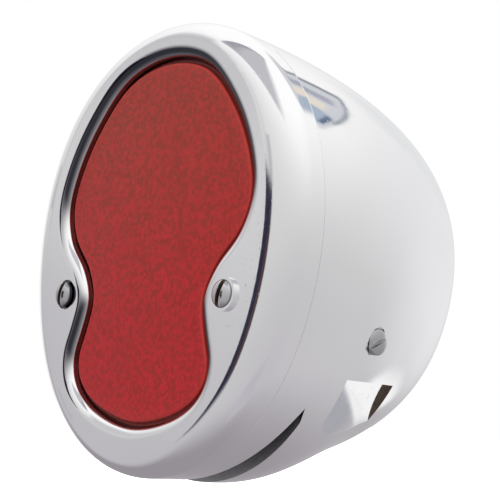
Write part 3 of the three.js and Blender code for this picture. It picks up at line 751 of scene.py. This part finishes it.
def lens_body():
    """Flange, groove and raised pad in one moulding, hollow behind the pad."""
    flange = LENS_FLANGE
    rings = [
        face_ring(flange.inset, flange.back),
        face_ring(flange.inset, flange.front),
        opening_ring(-0.5, flange.front),
        opening_ring(-0.5, LENS_BODY_FRONT + 0.2),
        opening_ring(-0.7, LENS_BODY_FRONT),
        opening_ring(-LENS_PAD_INSET + 0.3, LENS_BODY_FRONT),
        opening_ring(-LENS_PAD_INSET, LENS_BODY_FRONT - 0.3),
    ]
    for angle in reversed(quarter()):
        inset = LENS_PAD_INSET + LENS_PAD_ROUND * (1 - math.sin(angle))
        drop = LENS_PAD_ROUND * (1 - math.cos(angle))
        rings.append(opening_ring(-inset, LENS_PAD_FRONT + drop))
    rim = rings[-1]
    for scale in (0.985, 0.9, 0.78, 0.62, 0.42, 0.2, 0.06):
        rise = LENS_CROWN * (1 - scale ** 2)
        rings.append(rim * (scale, 0, scale) + (0, LENS_PAD_FRONT - rise, 0))
    body = loft("lens_moulding", rings)
    inner = -LENS_PAD_INSET - LENS_WALL
    hollow = [opening_ring(inner, depth) for depth in (LENS_PAD_FRONT + LENS_WALL, flange.back + 1)]
    cut(body, loft("hollow", hollow))
    for side in (-1, 1):
        cut(body, cylinder("hole", BEZEL_BOSS + BOSS_GAP, 0.2, SEAM, side * BEZEL_SCREW.x, BEZEL_SCREW.z))
    return finish_piece(body, "lens_red", "lens", BEZEL)


def gasket_ring():
    g, soft = GASKET, 0.3
    section = [
        (g.outer + soft, g.front), (g.outer, g.front + soft), (g.outer, g.back - soft),
        (g.outer + soft, g.back), (g.inner - soft, g.back), (g.inner, g.back - soft),
        (g.inner, g.front + soft), (g.inner - soft, g.front),
    ]
    ring = loft("gasket_ring", [face_ring(inset, depth) for inset, depth in section], ring_loop=True)
    return finish_piece(ring, "rubber", "lens_gasket", BEZEL)


# --- Casting ---

def notch_floor(depth, z):
    """Distance of a notch's floor from the middle of the lamp: it sinks towards the rear."""
    n = NOTCH
    return n.start - n.sink * (depth - n.front) + n.lean * (z - n.top)


def in_notch_floor(x, depth, z):
    return (z < NOTCH.top) & (np.abs(np.abs(x) - notch_floor(depth, z)) < 0.05)


def notch_tool(name, grow=0.0):
    """The block that cuts one notch on the right flank."""
    top, bottom = NOTCH.top + grow, NOTCH.bottom
    rings = []
    for depth in (NOTCH.front - grow, NOTCH.back + grow):
        corners = [(notch_floor(depth, top) - grow, top), (notch_floor(depth, bottom) - grow, bottom),
                   (NOTCH_OUTSIDE, bottom), (NOTCH_OUTSIDE, top)]
        rings.append([(x, depth, z) for x, z in corners])
    return loft(name, rings)


def slot_tool():
    p = PLATE_SLOT
    x = np.linspace(-p.tip_x, p.tip_x, 49)
    front = p.tip_depth - (p.tip_depth - p.front) * (1 - (x / p.tip_x) ** 2) ** 0.8
    outline = list(zip(x, front)) + [(p.tip_x - 3, p.rear), (3 - p.tip_x, p.rear)]
    rings = [[(x, depth, z) for x, depth in outline] for z in (-80, p.top)]
    return loft("slot_tool", rings)


def cavity_tool():
    hollow = loft("cavity", [body_ring(d, WALL) for d in body_depths(RIM_BACK, PAD_FRONT, 24)])
    cut(hollow, *both_sides(lambda name: notch_tool(name, WALL - 0.3)))
    mouth = loft("mouth", [face_ring(RIM_INSET, SPIGOT_FRONT - 1), face_ring(RIM_INSET, RIM_BACK + 2)])
    return join(hollow, mouth)


def cross_lathe(name, profile, depth, z, count=64):
    """A piece turned about the X axis at (depth, z); the profile is (radius, x) pairs."""
    piece = lathe(name, [(radius, x + LAMP_DEPTH) for radius, x in profile], 0, 0, count)
    swap = Matrix(((0, 1, 0, 0), (-1, 0, 0, 0), (0, 0, 1, 0), (0, 0, 0, 1)))
    place = Matrix.Translation(((0, (depth - LAMP_DEPTH) * MM, z * MM)))
    return transformed(piece, place @ swap)


def side_seat(name):
    s = SIDE_SCREW
    inner = YOKE.half - 3
    profile = [(0, inner), (s.hole, inner), (s.hole, s.seat), (SIDE_SEAT_RADIUS, s.seat),
               (SIDE_SEAT_RADIUS, HALF_WIDTH + 1), (0, HALF_WIDTH + 1)]
    return cross_lathe(name, profile, s.depth, s.z)


def screw_boss(name):
    x, z = BEZEL_SCREW.x, BEZEL_SCREW.z
    post = lathe(name, [(0, SPIGOT_FRONT), (BEZEL_BOSS, SPIGOT_FRONT), (BEZEL_BOSS, BODY_BOSS_BACK - 0.6),
                        (BEZEL_BOSS - 0.6, BODY_BOSS_BACK), (0, BODY_BOSS_BACK)], x, z)
    web = box("web", x, HALF_WIDTH - WALL - WEB.gap, SEAM + 0.5, BODY_BOSS_BACK - 0.5,
              z - WEB.half, z + WEB.half)
    return join(post, web)


def housing_casting():
    front = SEAM + SEAM_GAP
    depths = body_depths(front + EDGE_BREAK, LAMP_DEPTH, BODY_RINGS)
    rings = [body_ring(front, EDGE_BREAK), *(body_ring(d) for d in depths[:-1])]
    rings += [body_ring(LAMP_DEPTH - 0.25), body_ring(LAMP_DEPTH, 0.5)]
    body = loft("housing_casting", rings)
    spigot = loft("spigot", [face_ring(SPIGOT_INSET, SPIGOT_FRONT), face_ring(SPIGOT_INSET, RIM_BACK)])
    join(body, spigot)
    cut(body, cavity_tool())
    join(body, *both_sides(screw_boss))
    x, z, length = BEZEL_SCREW.x, BEZEL_SCREW.z, BEZEL_SCREW.length
    cut(body, *both_sides(lambda name: cylinder(name, BEZEL_HOLE, 5, length + 1, x, z)))
    cut(body, *both_sides(side_seat), *both_sides(notch_tool), slot_tool())
    back = LAMP_DEPTH + 1
    cut(body, *both_sides(lambda name: cylinder(name, STUD_HOLE, PAD_FRONT + 1, back, STUD.x)))
    cut(body, cylinder("lead", GROMMET.hole, PAD_FRONT - 1, back, 0, GROMMET.z))
    cut(body, cylinder("seat", GROMMET.seat, LAMP_DEPTH - GROMMET.seat_depth, back, 0, GROMMET.z))
    finish_piece(body, "casting", "housing")
    mark_rough_walls(body)
    smooth_body_normals(body)
    return body


def mark_rough_walls(body):
    """The inside stays as cast, and the plate slot and the notches' rear walls get the dark brown metal."""
    mesh = body.data
    as_cast, dark_brown_metal = 1, 2
    for name in ("as_cast", "dark_brown_metal"):
        mesh.materials.append(MATERIALS[name])
    for face in mesh.polygons:
        x, depth, z = to_millimetres(np.array(face.center))
        level = body_level(np.array([[x, np.clip(depth, SEAM + 0.2, LAMP_DEPTH), z]]))[0]
        in_slot = z < PLATE_SLOT.top - 1 and PLATE_SLOT.front - 1 < depth < PLATE_SLOT.rear + 0.5
        facing_along = abs(face.normal.y) > 0.9
        notch_end = z < NOTCH.top + 0.5 and abs(depth - NOTCH.back) < 0.3 and facing_along
        if level > SKIN_LEVEL or in_notch_floor(x, depth, z):
            continue
        if notch_end or (in_slot and level > SLOT_LEVEL):
            face.material_index = dark_brown_metal
        elif level < INSIDE_LEVEL and depth < LAMP_DEPTH - 1:
            face.material_index = as_cast


def window_lens():
    w = WINDOW
    inset = WALL + w.gap
    outer = loft("window_lens", [body_ring(d, inset) for d in np.linspace(w.front, w.back, 9)])
    wide = np.linspace(w.front - 1, w.back + 1, 9)
    cut(outer, loft("inner", [body_ring(d, inset + w.thickness) for d in wide]))
    combine(outer, box("keep", -60, 60, w.front - 2, w.back + 2, -75, w.top), "INTERSECT")
    return finish_piece(outer, "window_clear", "plate_window")


# --- Fasteners ---

def thread_points(radius, pitch, start, end, x, z, count=32, per_pitch=8):
    """Rings of a threaded rod whose thread fades out at both ends."""
    rows = int((end - start) / pitch * per_pitch)
    angles = full_turn(count)
    rings = []
    for row in range(rows + 1):
        depth = start + (end - start) * row / rows
        phase = (depth / pitch - angles / (2 * math.pi)) % 1
        crest = 1 - np.abs(2 * phase - 1)
        taper = min(1.0, (end - depth) / pitch, (depth - start) / pitch + 0.3)
        r = radius - 0.3 * pitch * (1 - crest * taper)
        rings.append(at_depth(np.stack([x + r * np.cos(angles), z + r * np.sin(angles)], axis=1), depth))
    return rings


def bezel_screw(side, label):
    s = BEZEL_SCREW
    seat = -0.1
    top = seat - s.dome
    x, z = side * s.x, s.z
    foot = [(s.head, seat - 0.15), (s.head - 0.15, seat), (0, seat)]
    profile = crown(s.head, top, 0.72 * s.dome, 0.9) + foot
    head = lathe(f"bezel_screw_{label}_head", profile, x, z)
    turn = BEZEL_SLOT_TURN[label]
    half = BEZEL_SLOT_HALF
    slot = box("slot", x - 6, x + 6, top - 1, top + SCREW_SLOT.depth + 0.3, z - half, z + half)
    cut(head, turned_about_y(slot, turn, x, z))
    round_edges(head, 0.12, 2, 50)
    shank = loft("shank", thread_points(s.shank, 0.8, seat - 0.2, s.length, x, z))
    join(head, shank)
    finish_piece(head, "screw_chrome", f"bezel_screw_{label}", BEZEL, "chrome_with_painted_foot_shade")
    darken_slot(head, x, z, turn)
    return head


def darken_slot(head, x, z, turn):
    """Paints shade into a bezel screw's slot with the dark brown metal."""
    mesh = head.data
    dark_brown_metal = 1
    mesh.materials.append(MATERIALS["dark_brown_metal"])
    across = (math.sin(math.radians(turn)), math.cos(math.radians(turn)))
    for face in mesh.polygons:
        depth = face.center.y / MM + LAMP_DEPTH
        offset = (face.center.x / MM - x) * across[0] + (face.center.z / MM - z) * across[1]
        # Painted shade: the faces down in the slot take the dark brown metal.
        if depth < -0.4 and abs(offset) < BEZEL_SLOT_HALF + 0.02:
            face.material_index = dark_brown_metal


def side_screw(side, label):
    s = SIDE_SCREW
    seat, top = s.seat + 0.2, s.top + 0.5
    tip = SIDE_NUT.inner - 2
    profile = crown(s.head, top, -0.9) + [(s.head, seat), (s.shank, seat), (s.shank, tip), (0, tip)]
    screw = cross_lathe(f"side_screw_{label}_body", profile, s.depth, s.z)
    half = SCREW_SLOT.width / 2
    slot = box("slot", top - SCREW_SLOT.depth - 0.2, top + 2, -6, 6, -half, half)
    turn = Matrix.Rotation(math.radians(SIDE_SLOT_TURN), 4, "X")
    place = Matrix.Translation((0, (s.depth - LAMP_DEPTH) * MM, s.z * MM))
    transformed(slot, place @ turn @ Matrix.Translation((0, LAMP_DEPTH * MM, 0)))
    cut(screw, slot)
    round_edges(screw, 0.1, 2, 50)
    if side < 0:
        mirror_x(screw)
    return finish_piece(screw, "screw_chrome", f"side_screw_{label}")


def side_nut(side, label):
    n, s = SIDE_NUT, SIDE_SCREW
    half = n.size / 2
    nut = box(f"side_nut_{label}_body", n.inner, n.outer, s.depth - half, s.depth + half,
              s.z - half + 0.4, s.z + half, 0.3)
    cut(nut, cross_lathe("bore", rod(s.hole, n.inner - 1, n.outer + 1), s.depth, s.z))
    if side < 0:
        mirror_x(nut)
    return finish_piece(nut, "zinc_steel", f"side_nut_{label}")


def mount_hardware(side, label):
    x = side * STUD.x
    thread = thread_points(STUD.radius, STUD.pitch, STUD.start, STUD.end, x, 0)
    stud = loft(f"mount_stud_{label}_body", thread)
    finish_piece(stud, "zinc_steel", f"mount_stud_{label}")
    w = WASHER
    soft = 0.25
    section = [(w.inner, w.front), (w.outer - soft, w.front), (w.outer, w.front + soft),
               (w.outer, w.back - soft), (w.outer - soft, w.back), (w.inner, w.back)]
    washer = lathe(f"mount_washer_{label}_body", section, x, 0)
    finish_piece(washer, "zinc_steel", f"mount_washer_{label}")
    corner = NUT.across / math.sqrt(3)
    nut = cylinder(f"mount_nut_{label}_body", corner, NUT.front, NUT.back, x, 0, 6)
    chamfer = [(0, NUT.front), (4.6, NUT.front), (corner, NUT.front + 0.7), (corner + 0.1, NUT.back - 0.7),
               (4.6, NUT.back), (0, NUT.back)]
    combine(nut, lathe("chamfer", chamfer, x, 0), "INTERSECT")
    cut(nut, cylinder("bore", WASHER.inner, NUT.front - 1, NUT.back + 1, x))
    finish_piece(nut, "zinc_steel", f"mount_nut_{label}")


def grommet():
    g = GROMMET
    back = LAMP_DEPTH - 0.4
    seat = LAMP_DEPTH - g.seat_depth + 0.3
    inside = PAD_FRONT - 0.3
    profile = [
        (g.bore, back - 0.4), (g.bore + 0.4, back), (g.flange - 1, back), (g.flange - 0.3, back - 0.3),
        (g.flange, back - 1), (g.flange, seat), (g.groove, seat), (g.groove, inside), (g.flange, inside),
        (g.flange - 0.4, inside - 1.2), (g.flange - 1.4, inside - 2), (g.bore, inside - 2),
    ]
    return finish_piece(lathe("grommet_ring", profile, 0, g.z), "rubber", "wire_grommet")


# --- Inside ---

def sheet_hole(radius, x, z):
    """A cutter through the plate and the yoke."""
    return cylinder("hole", radius, *SHEET_CUT, x, z)


def cut_rivet_holes(sheet):
    cut(sheet, *(sheet_hole(RIVET.shank + 0.3, side * RIVET.x, YOKE_HEIGHT) for side in (-1, 1)))


def reflector():
    """Pressed sheet with a softened rim and holes for the sockets and rivets."""
    p, rim = PLATE, PLATE.grow - 0.15
    section = [(rim, p.front), (p.grow, p.front + 0.2), (p.grow, p.back - 0.2), (rim, p.back)]
    sheet = loft("reflector_sheet", [opening_ring(grow, depth) for grow, depth in section])
    cut(sheet, *(sheet_hole(SOCKET.outer + 0.3, 0, z) for _, z in LAMPS))
    cut_rivet_holes(sheet)
    return finish_piece(sheet, "reflector", "reflector_plate")


def yoke_strap():
    y = YOKE
    strap = box("yoke_strap", -y.half, y.half, y.front, y.back, y.bottom, y.top)
    for side in (-1, 1):
        edge = sorted((side * y.half, side * (y.half - y.ear)))
        join(strap, box("ear", *edge, y.front, y.ear_back, y.bottom, y.top))
    round_edges(strap, 0.4)
    s = SIDE_SCREW
    bore = rod(s.hole, *EAR_CUT)
    cut(strap, *both_sides(lambda name: cross_lathe(name, bore, s.depth, s.z)))
    cut_rivet_holes(strap)
    cut(strap, sheet_hole(LEAD_HOLE, 0, YOKE_HEIGHT))
    return finish_piece(strap, "zinc_steel", "socket_yoke")


def rivet(side, label):
    front, back = PLATE.front - 0.3, YOKE.back + 0.3
    r = RIVET
    profile = crown(r.head, front - 1, 1) + [
        (r.shank, front), (r.shank, back), (r.head * 0.8, back), (r.head * 0.7, back + 0.7),
        (r.head * 0.3, back + 1), (0, back + 0.8),
    ]
    piece = lathe(f"yoke_rivet_{label}_body", profile, side * r.x, YOKE_HEIGHT)
    return finish_piece(piece, "brass", f"yoke_rivet_{label}")


def bayonet_tools(z):
    """Cutters of both J-slots: a channel from the mouth, and a leg where the pin locks."""
    half = PIN.radius + PIN.clear
    x0, x1 = SOCKET.inner - 1, SOCKET.outer + 1
    bottom = PIN.depth + PUSH + half
    tools = []
    for start in (0, 180):
        channel = box("channel", x0, x1, SOCKET.front - 1, bottom, z - half, z + half)
        tools.append(turned_about_y(channel, start - TWIST, 0, z))
        for step in range(4):
            leg = box("leg", x0, x1, PIN.depth - half, bottom, z - half, z + half)
            tools.append(turned_about_y(leg, start - TWIST * step / 3, 0, z))
    return tools


def socket(label, z):
    s = SOCKET
    near = PLATE.back + 0.3
    far = near + 1.2
    profile = [
        (s.inner, s.front + 0.15), (s.inner + 0.15, s.front), (s.outer - 0.15, s.front),
        (s.outer, s.front + 0.15), (s.outer, near), (s.flange - 0.2, near), (s.flange, near + 0.2),
        (s.flange, far - 0.2), (s.flange - 0.2, far), (s.outer, far), (s.outer, s.back - 0.8),
        (s.outer - 0.8, s.back), (s.hole, s.back), (s.hole, s.floor), (s.inner, s.floor),
    ]
    shell = lathe(f"socket_{label}_shell", profile, 0, z, 72)
    cut(shell, *bayonet_tools(z))
    return finish_piece(shell, "zinc_steel", f"socket_{label}")


def bulb(label, z):
    """A bayonet bulb: cap with two pins, base, globe and filament. Profiles are (radius, depth) pairs."""
    body = f"bulb_{label}"
    outer, inner = 7.5, 6.7
    cap_profile = [
        (0, 42), (inner, 42), (inner, 36.1), (6.8, 36), (7.4, 36), (outer, 36.1), (outer, 38), (7.3, 38.3),
        (outer, 38.6), (outer, 53.1), (7.2, 53.4), (inner, 53.4), (inner, 44), (0, 44),
    ]
    cap = lathe(f"bulb_cap_{label}_shell", cap_profile, 0, z, 72)
    root, round_off = outer - 0.4, 0.25
    pin_profile = [(0, root), (PIN.radius, root), (PIN.radius, PIN.reach - round_off),
                   (PIN.radius - round_off, PIN.reach), (0, PIN.reach)]
    join(cap, *both_sides(lambda name: cross_lathe(name, pin_profile, PIN.depth, z, 24)))
    finish_piece(cap, "brass", f"bulb_cap_{label}", body)
    base_profile = [(0, 52.4), (6.4, 52.4), (6.4, 53.4), (6.2, 53.7), (5.6, 53.9), (2.6, 54.1), (2.3, 54.3),
                    (1.6, 54.4), (0, 54.4)]
    base = lathe(f"bulb_base_{label}_disc", base_profile, 0, z)
    finish_piece(base, "base_glass", f"bulb_base_{label}", body)
    finish_piece(bulb_envelope(label, z), "bulb_glass", f"bulb_glass_{label}", body)
    finish_piece(filament(label, z), "spring_steel", body=body)


def bulb_envelope(label, z, wall=0.5):
    """A globe that narrows to a neck, hollow round the glass stem that holds the filament."""
    globe, centre, neck, end = 12.0, 24.5, 6.4, 35.7

    angles = np.linspace(0, 0.7 * math.pi, 26)

    def arc(radius):
        return [(radius * math.sin(a), centre - radius * math.cos(a)) for a in angles]

    outer = arc(globe) + [(8.4, 32.9), (7.3, 33.9), (6.7, 34.8), (neck, end), (0, end)]
    inner = arc(globe - wall) + [(7.9, 32.6), (6.8, 33.5), (6.2, 34.5), (neck - wall, 35.3)]
    stem = [(2.2, 34.6), (1.6, 33.0), (1.4, 29.5), (1.0, 28.6), (0, 28.4)]
    shell = lathe(f"bulb_envelope_{label}", outer, 0, z, 48)
    cut(shell, lathe("hollow", inner + stem, 0, z, 48))
    return shell


def tube(points, radius, count=8):
    """Rings of a round tube along a path of points."""
    points = np.asarray(points, float)
    along = np.gradient(points, axis=0)
    along /= np.linalg.norm(along, axis=1)[:, None]
    side = np.cross(along, (0.31, 0.9, 0.3))
    side /= np.linalg.norm(side, axis=1)[:, None]
    lift = np.cross(along, side)
    angles = full_turn(count)
    return [p + radius * (np.cos(angles)[:, None] * s + np.sin(angles)[:, None] * u)
            for p, s, u in zip(points, side, lift)]


def filament(label, z):
    """Two support wires and a coiled filament across their tips."""
    turns, steps, radius, sag = 9, 12, 0.45, 0.8
    t = np.linspace(0, 1, turns * steps + 1)
    angles = 2 * math.pi * turns * t
    coil = np.stack([-3 + 6 * t, 22 + radius * np.cos(angles) - sag * np.sin(math.pi * t),
                     z + radius * np.sin(angles)], axis=1)
    wire = loft(f"filament_{label}", tube(coil, 0.1, 6))
    for side in (-1, 1):
        route = ((3, 21.9), (3, 23), (2.6, 26), (0.9, 29.5), (0.7, 42.5))
        path = [(side * x, depth, z) for x, depth in route]
        join(wire, loft("support", tube(path, 0.18, 8)))
    return wire


def contact_set(label, z):
    """The sprung contact of a socket: fibre disc, brass pin and coil spring."""
    body = f"contact_body_{label}"
    carrier = [(1.8, 55.4), (7.2, 55.4), (7.4, 55.6), (7.4, 56.8), (7.2, 57), (1.8, 57)]
    disc = lathe(f"contact_carrier_{label}_disc", carrier, 0, z)
    finish_piece(disc, "fibre", f"contact_carrier_{label}", body)
    pin = [(0, 54.8), (1.2, 54.8), (2.2, 54.9), (2.6, 55.05), (2.6, 55.3), (1.4, 55.3), (1.4, 68.5),
           (1.1, 68.8), (1.1, 69.6), (1.4, 69.9), (1.4, 70.6), (1.0, 71), (0, 71)]
    finish_piece(lathe(f"contact_{label}_pin", pin, 0, z, 40), "brass", f"contact_{label}", body)
    s = SPRING
    t = np.linspace(0, 1, s.turns * 28 + 1)
    angles = 2 * math.pi * s.turns * t
    path = np.stack([s.radius * np.cos(angles), s.front + (s.back - s.front) * t,
                     z + s.radius * np.sin(angles)], axis=1)
    coil = loft(f"contact_spring_{label}_coil", tube(path, s.wire, 10))
    spring = finish_piece(coil, "spring_steel", f"contact_spring_{label}")
    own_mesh(spring)


# --- Stage ---

CAMERA_PLACE = (0.23286, -0.28158, -0.03784)
CAMERA_RIGHT = (0.6939, 0.7145, 0.0899)
CAMERA_UP = (0.0316, -0.1549, 0.9874)
CAMERA_LENS = 77.53
FLOOR_HEIGHT = -0.22

# The studio as the metal sees it, in degrees and linear colours. Azimuth 0 is straight ahead of the
# lens and 90 is to its +X side. The sky is (elevation, colour).
SKY = (
    (-90, (0.42, 0.4, 0.43)), (-55, (0.54, 0.525, 0.55)), (-30, (0.58, 0.57, 0.59)),
    (-10, (0.6, 0.595, 0.61)), (0, (0.64, 0.635, 0.64)), (10, (0.7, 0.7, 0.705)),
    (20, (0.79, 0.79, 0.79)), (30, (0.9, 0.9, 0.9)), (40, (1.0, 1.0, 1.0)), (55, (1.08, 1.08, 1.08)),
)
# Soft round patches: (azimuth, elevation), inner and outer angle from there, colour
PATCHES = (
    ((-105, -55), 25, 75, (0.33, 0.305, 0.335)),
    ((-60, -15), 10, 30, (0.54, 0.53, 0.555)),
    ((-106, 4), 9, 22, (0.95, 0.95, 0.95)),
    ((-176, 8), 6, 32, (0.85, 0.85, 0.865)),
    ((178, 58), 6, 16, (0.66, 0.66, 0.7)),
)
# Cards with straight edges: azimuth range, elevation range, softness of the left, right, lower
# and upper edge, colour
FRONT_CARDS = (
    ((-66, -45.5), (12, 38), (6, 2, 5, 8), (0.6, 0.595, 0.61)),
    ((-44, 16), (41, 88), (0.8, 12, 2, 3), (0.56, 0.555, 0.585)),
    ((-44, -34), (44, 80), (0.5, 6, 5, 3), (0.36, 0.36, 0.4)),
    ((-44.5, -29.5), (-8, 12.5), (0.6, 2, 4, 0.8), (0.03, 0.03, 0.055)),
    ((-36, -29.5), (-5, 8), (2, 1.5, 3, 3), (0.085, 0.05, 0.05)),
    ((20, 62), (-62, -38), (7, 7, 5, 5), (0.52, 0.5, 0.55)),
)
# The same for cards behind the lamp, with the azimuth counted from straight behind it
BACK_CARDS = (
    ((-30, -13), (16, 33), (4, 4, 4, 4), (0.8, 0.815, 0.825)),
    ((-16, 16), (38, 52), (0.5, 2, 0.5, 3), (0.66, 0.68, 0.72)),
    ((4, 14), (39.5, 47), (0.5, 1.5, 0.6, 1), (0.42, 0.5, 0.6)),
    ((-2.5, 3.5), (41, 50), (0.4, 0.6, 0.5, 1), (0.84, 0.77, 0.66)),
    ((-9, -4.5), (40, 51), (0.4, 0.4, 0.5, 1), (0.42, 0.43, 0.5)),
    ((-16, -13.5), (38, 50), (0.4, 0.4, 0.6, 1), (0.3, 0.31, 0.35)),
    ((5.5, 13), (39, 40.2), (1, 1, 0.3, 0.3), (0.14, 0.19, 0.28)),
    ((-16, 8), (38, 38.6), (1, 1, 0.2, 0.2), (0.3, 0.32, 0.36)),
    ((-15, 3), (-20.6, -16.5), (3, 3, 0.5, 2.5), (0.97, 0.97, 0.975)),
    ((-12, 0), (-28, -20.9), (2, 2, 3, 0.4), (0.4, 0.4, 0.44)),
)


def card_mask(graph, azimuth, elevation, card):
    (a0, a1), (e0, e1), (left, right, low, high), _ = card
    mask = graph.spread(azimuth, a0 - left, a0 + left, smooth=True)
    for angle, edge, soft in ((azimuth, a1, -right), (elevation, e0, low), (elevation, e1, -high)):
        mask = graph.math("MULTIPLY", mask, graph.spread(angle, edge - soft, edge + soft, smooth=True))
    return mask


def patch_mask(graph, direction, patch):
    (azimuth, elevation), inner, outer, _ = patch
    a, e = math.radians(azimuth), math.radians(elevation)
    centre = (math.sin(a) * math.cos(e), -math.cos(a) * math.cos(e), math.sin(e))
    product = graph.add("ShaderNodeVectorMath", {0: direction, 1: centre}, operation="DOT_PRODUCT")
    limits = (math.cos(math.radians(angle)) for angle in (outer, inner))
    return graph.spread(product.outputs["Value"], *limits, smooth=True)


def studio_world():
    world = bpy.data.worlds.new("studio")
    world.use_nodes = True
    bpy.context.scene.world = world
    graph = Graph(world.node_tree)
    world.node_tree.nodes.clear()
    direction = graph.add("ShaderNodeTexCoord").outputs["Generated"]
    split = graph.add("ShaderNodeSeparateXYZ", {"Vector": direction})
    x, y, z = (split.outputs[name] for name in "XYZ")
    ahead = graph.math("DEGREES", graph.math("ARCTAN2", x, graph.math("MULTIPLY", y, -1.0)))
    behind = graph.math("DEGREES", graph.math("ARCTAN2", x, y))
    elevation = graph.math("DEGREES", graph.math("ARCSINE", z))
    ramp = graph.add("ShaderNodeValToRGB", {"Fac": graph.spread(elevation, -90, 90)})
    stops = ramp.color_ramp.elements
    while len(stops) < len(SKY):
        stops.new(0.5)
    for stop, (angle, color) in zip(stops, SKY):
        stop.position = (angle + 90) / 180
        stop.color = rgba(color)
    color = ramp.outputs["Color"]
    for patch in PATCHES:
        color = graph.mix(patch_mask(graph, direction, patch), color, rgba(patch[3]))
    for cards, azimuth in ((FRONT_CARDS, ahead), (BACK_CARDS, behind)):
        for card in cards:
            color = graph.mix(card_mask(graph, azimuth, elevation, card), color, rgba(card[3]))
    seen = graph.add("ShaderNodeLightPath").outputs["Is Camera Ray"]
    color = graph.mix(seen, color, (1.0, 1.0, 1.0, 1.0))
    background = graph.add("ShaderNodeBackground", {"Color": color, "Strength": 1.0})
    graph.add("ShaderNodeOutputWorld", {"Surface": background.outputs[0]})


def floor():
    """A white floor that only the camera sees."""
    mesh = bpy.data.meshes.new("floor")
    reach = 6.0
    corners = [(x * reach, y * reach, FLOOR_HEIGHT) for x, y in ((-1, -1), (1, -1), (1, 1), (-1, 1))]
    mesh.from_pydata(corners, [], [(0, 1, 2, 3)])
    plane = add_object("floor", mesh)
    principled("floor", Base_Color=(0.9, 0.9, 0.9, 1), Emission_Color=(1, 1, 1, 1), Emission_Strength=1.0)
    mesh.materials.append(MATERIALS["floor"])
    for ray in ("glossy", "diffuse", "transmission", "shadow"):
        setattr(plane, f"visible_{ray}", False)


def camera():
    data = bpy.data.cameras.new("camera")
    data.lens = CAMERA_LENS
    data.sensor_width = 36.0
    data.clip_start = 0.01
    view = add_object("camera", data)
    right, up = Vector(CAMERA_RIGHT).normalized(), Vector(CAMERA_UP).normalized()
    back = right.cross(up).normalized()
    up = back.cross(right)
    view.matrix_world = Matrix.Translation(CAMERA_PLACE) @ Matrix((right, up, back)).transposed().to_4x4()
    bpy.context.scene.camera = view


def area_light(name, place, target, size, power):
    data = bpy.data.lights.new(name, "AREA")
    data.shape = "DISK"
    data.size = size
    data.energy = power
    light = add_object(name, data)
    light.location = place
    light.rotation_euler = (Vector(target) - Vector(place)).to_track_quat("-Z", "Y").to_euler()
    light.visible_camera = False
    light.visible_glossy = False


# --- Assembly ---

camera()
studio_world()
floor()
area_light("soft_key", (0.5, -0.9, 0.9), (0, -0.05, 0), 0.8, 6)
bpy.context.scene.view_settings.view_transform = "Standard"

make_materials()
bezel_ring()
lens_body()
gasket_ring()
housing_casting()
window_lens()
reflector()
yoke_strap()
grommet()
for side_sign, side_name in ((-1, "left"), (1, "right")):
    bezel_screw(side_sign, side_name)
    side_screw(side_sign, side_name)
    side_nut(side_sign, side_name)
    rivet(side_sign, side_name)
    mount_hardware(side_sign, side_name)
for lamp_name, lamp_height in LAMPS:
    socket(lamp_name, lamp_height)
    bulb(lamp_name, lamp_height)
    contact_set(lamp_name, lamp_height)
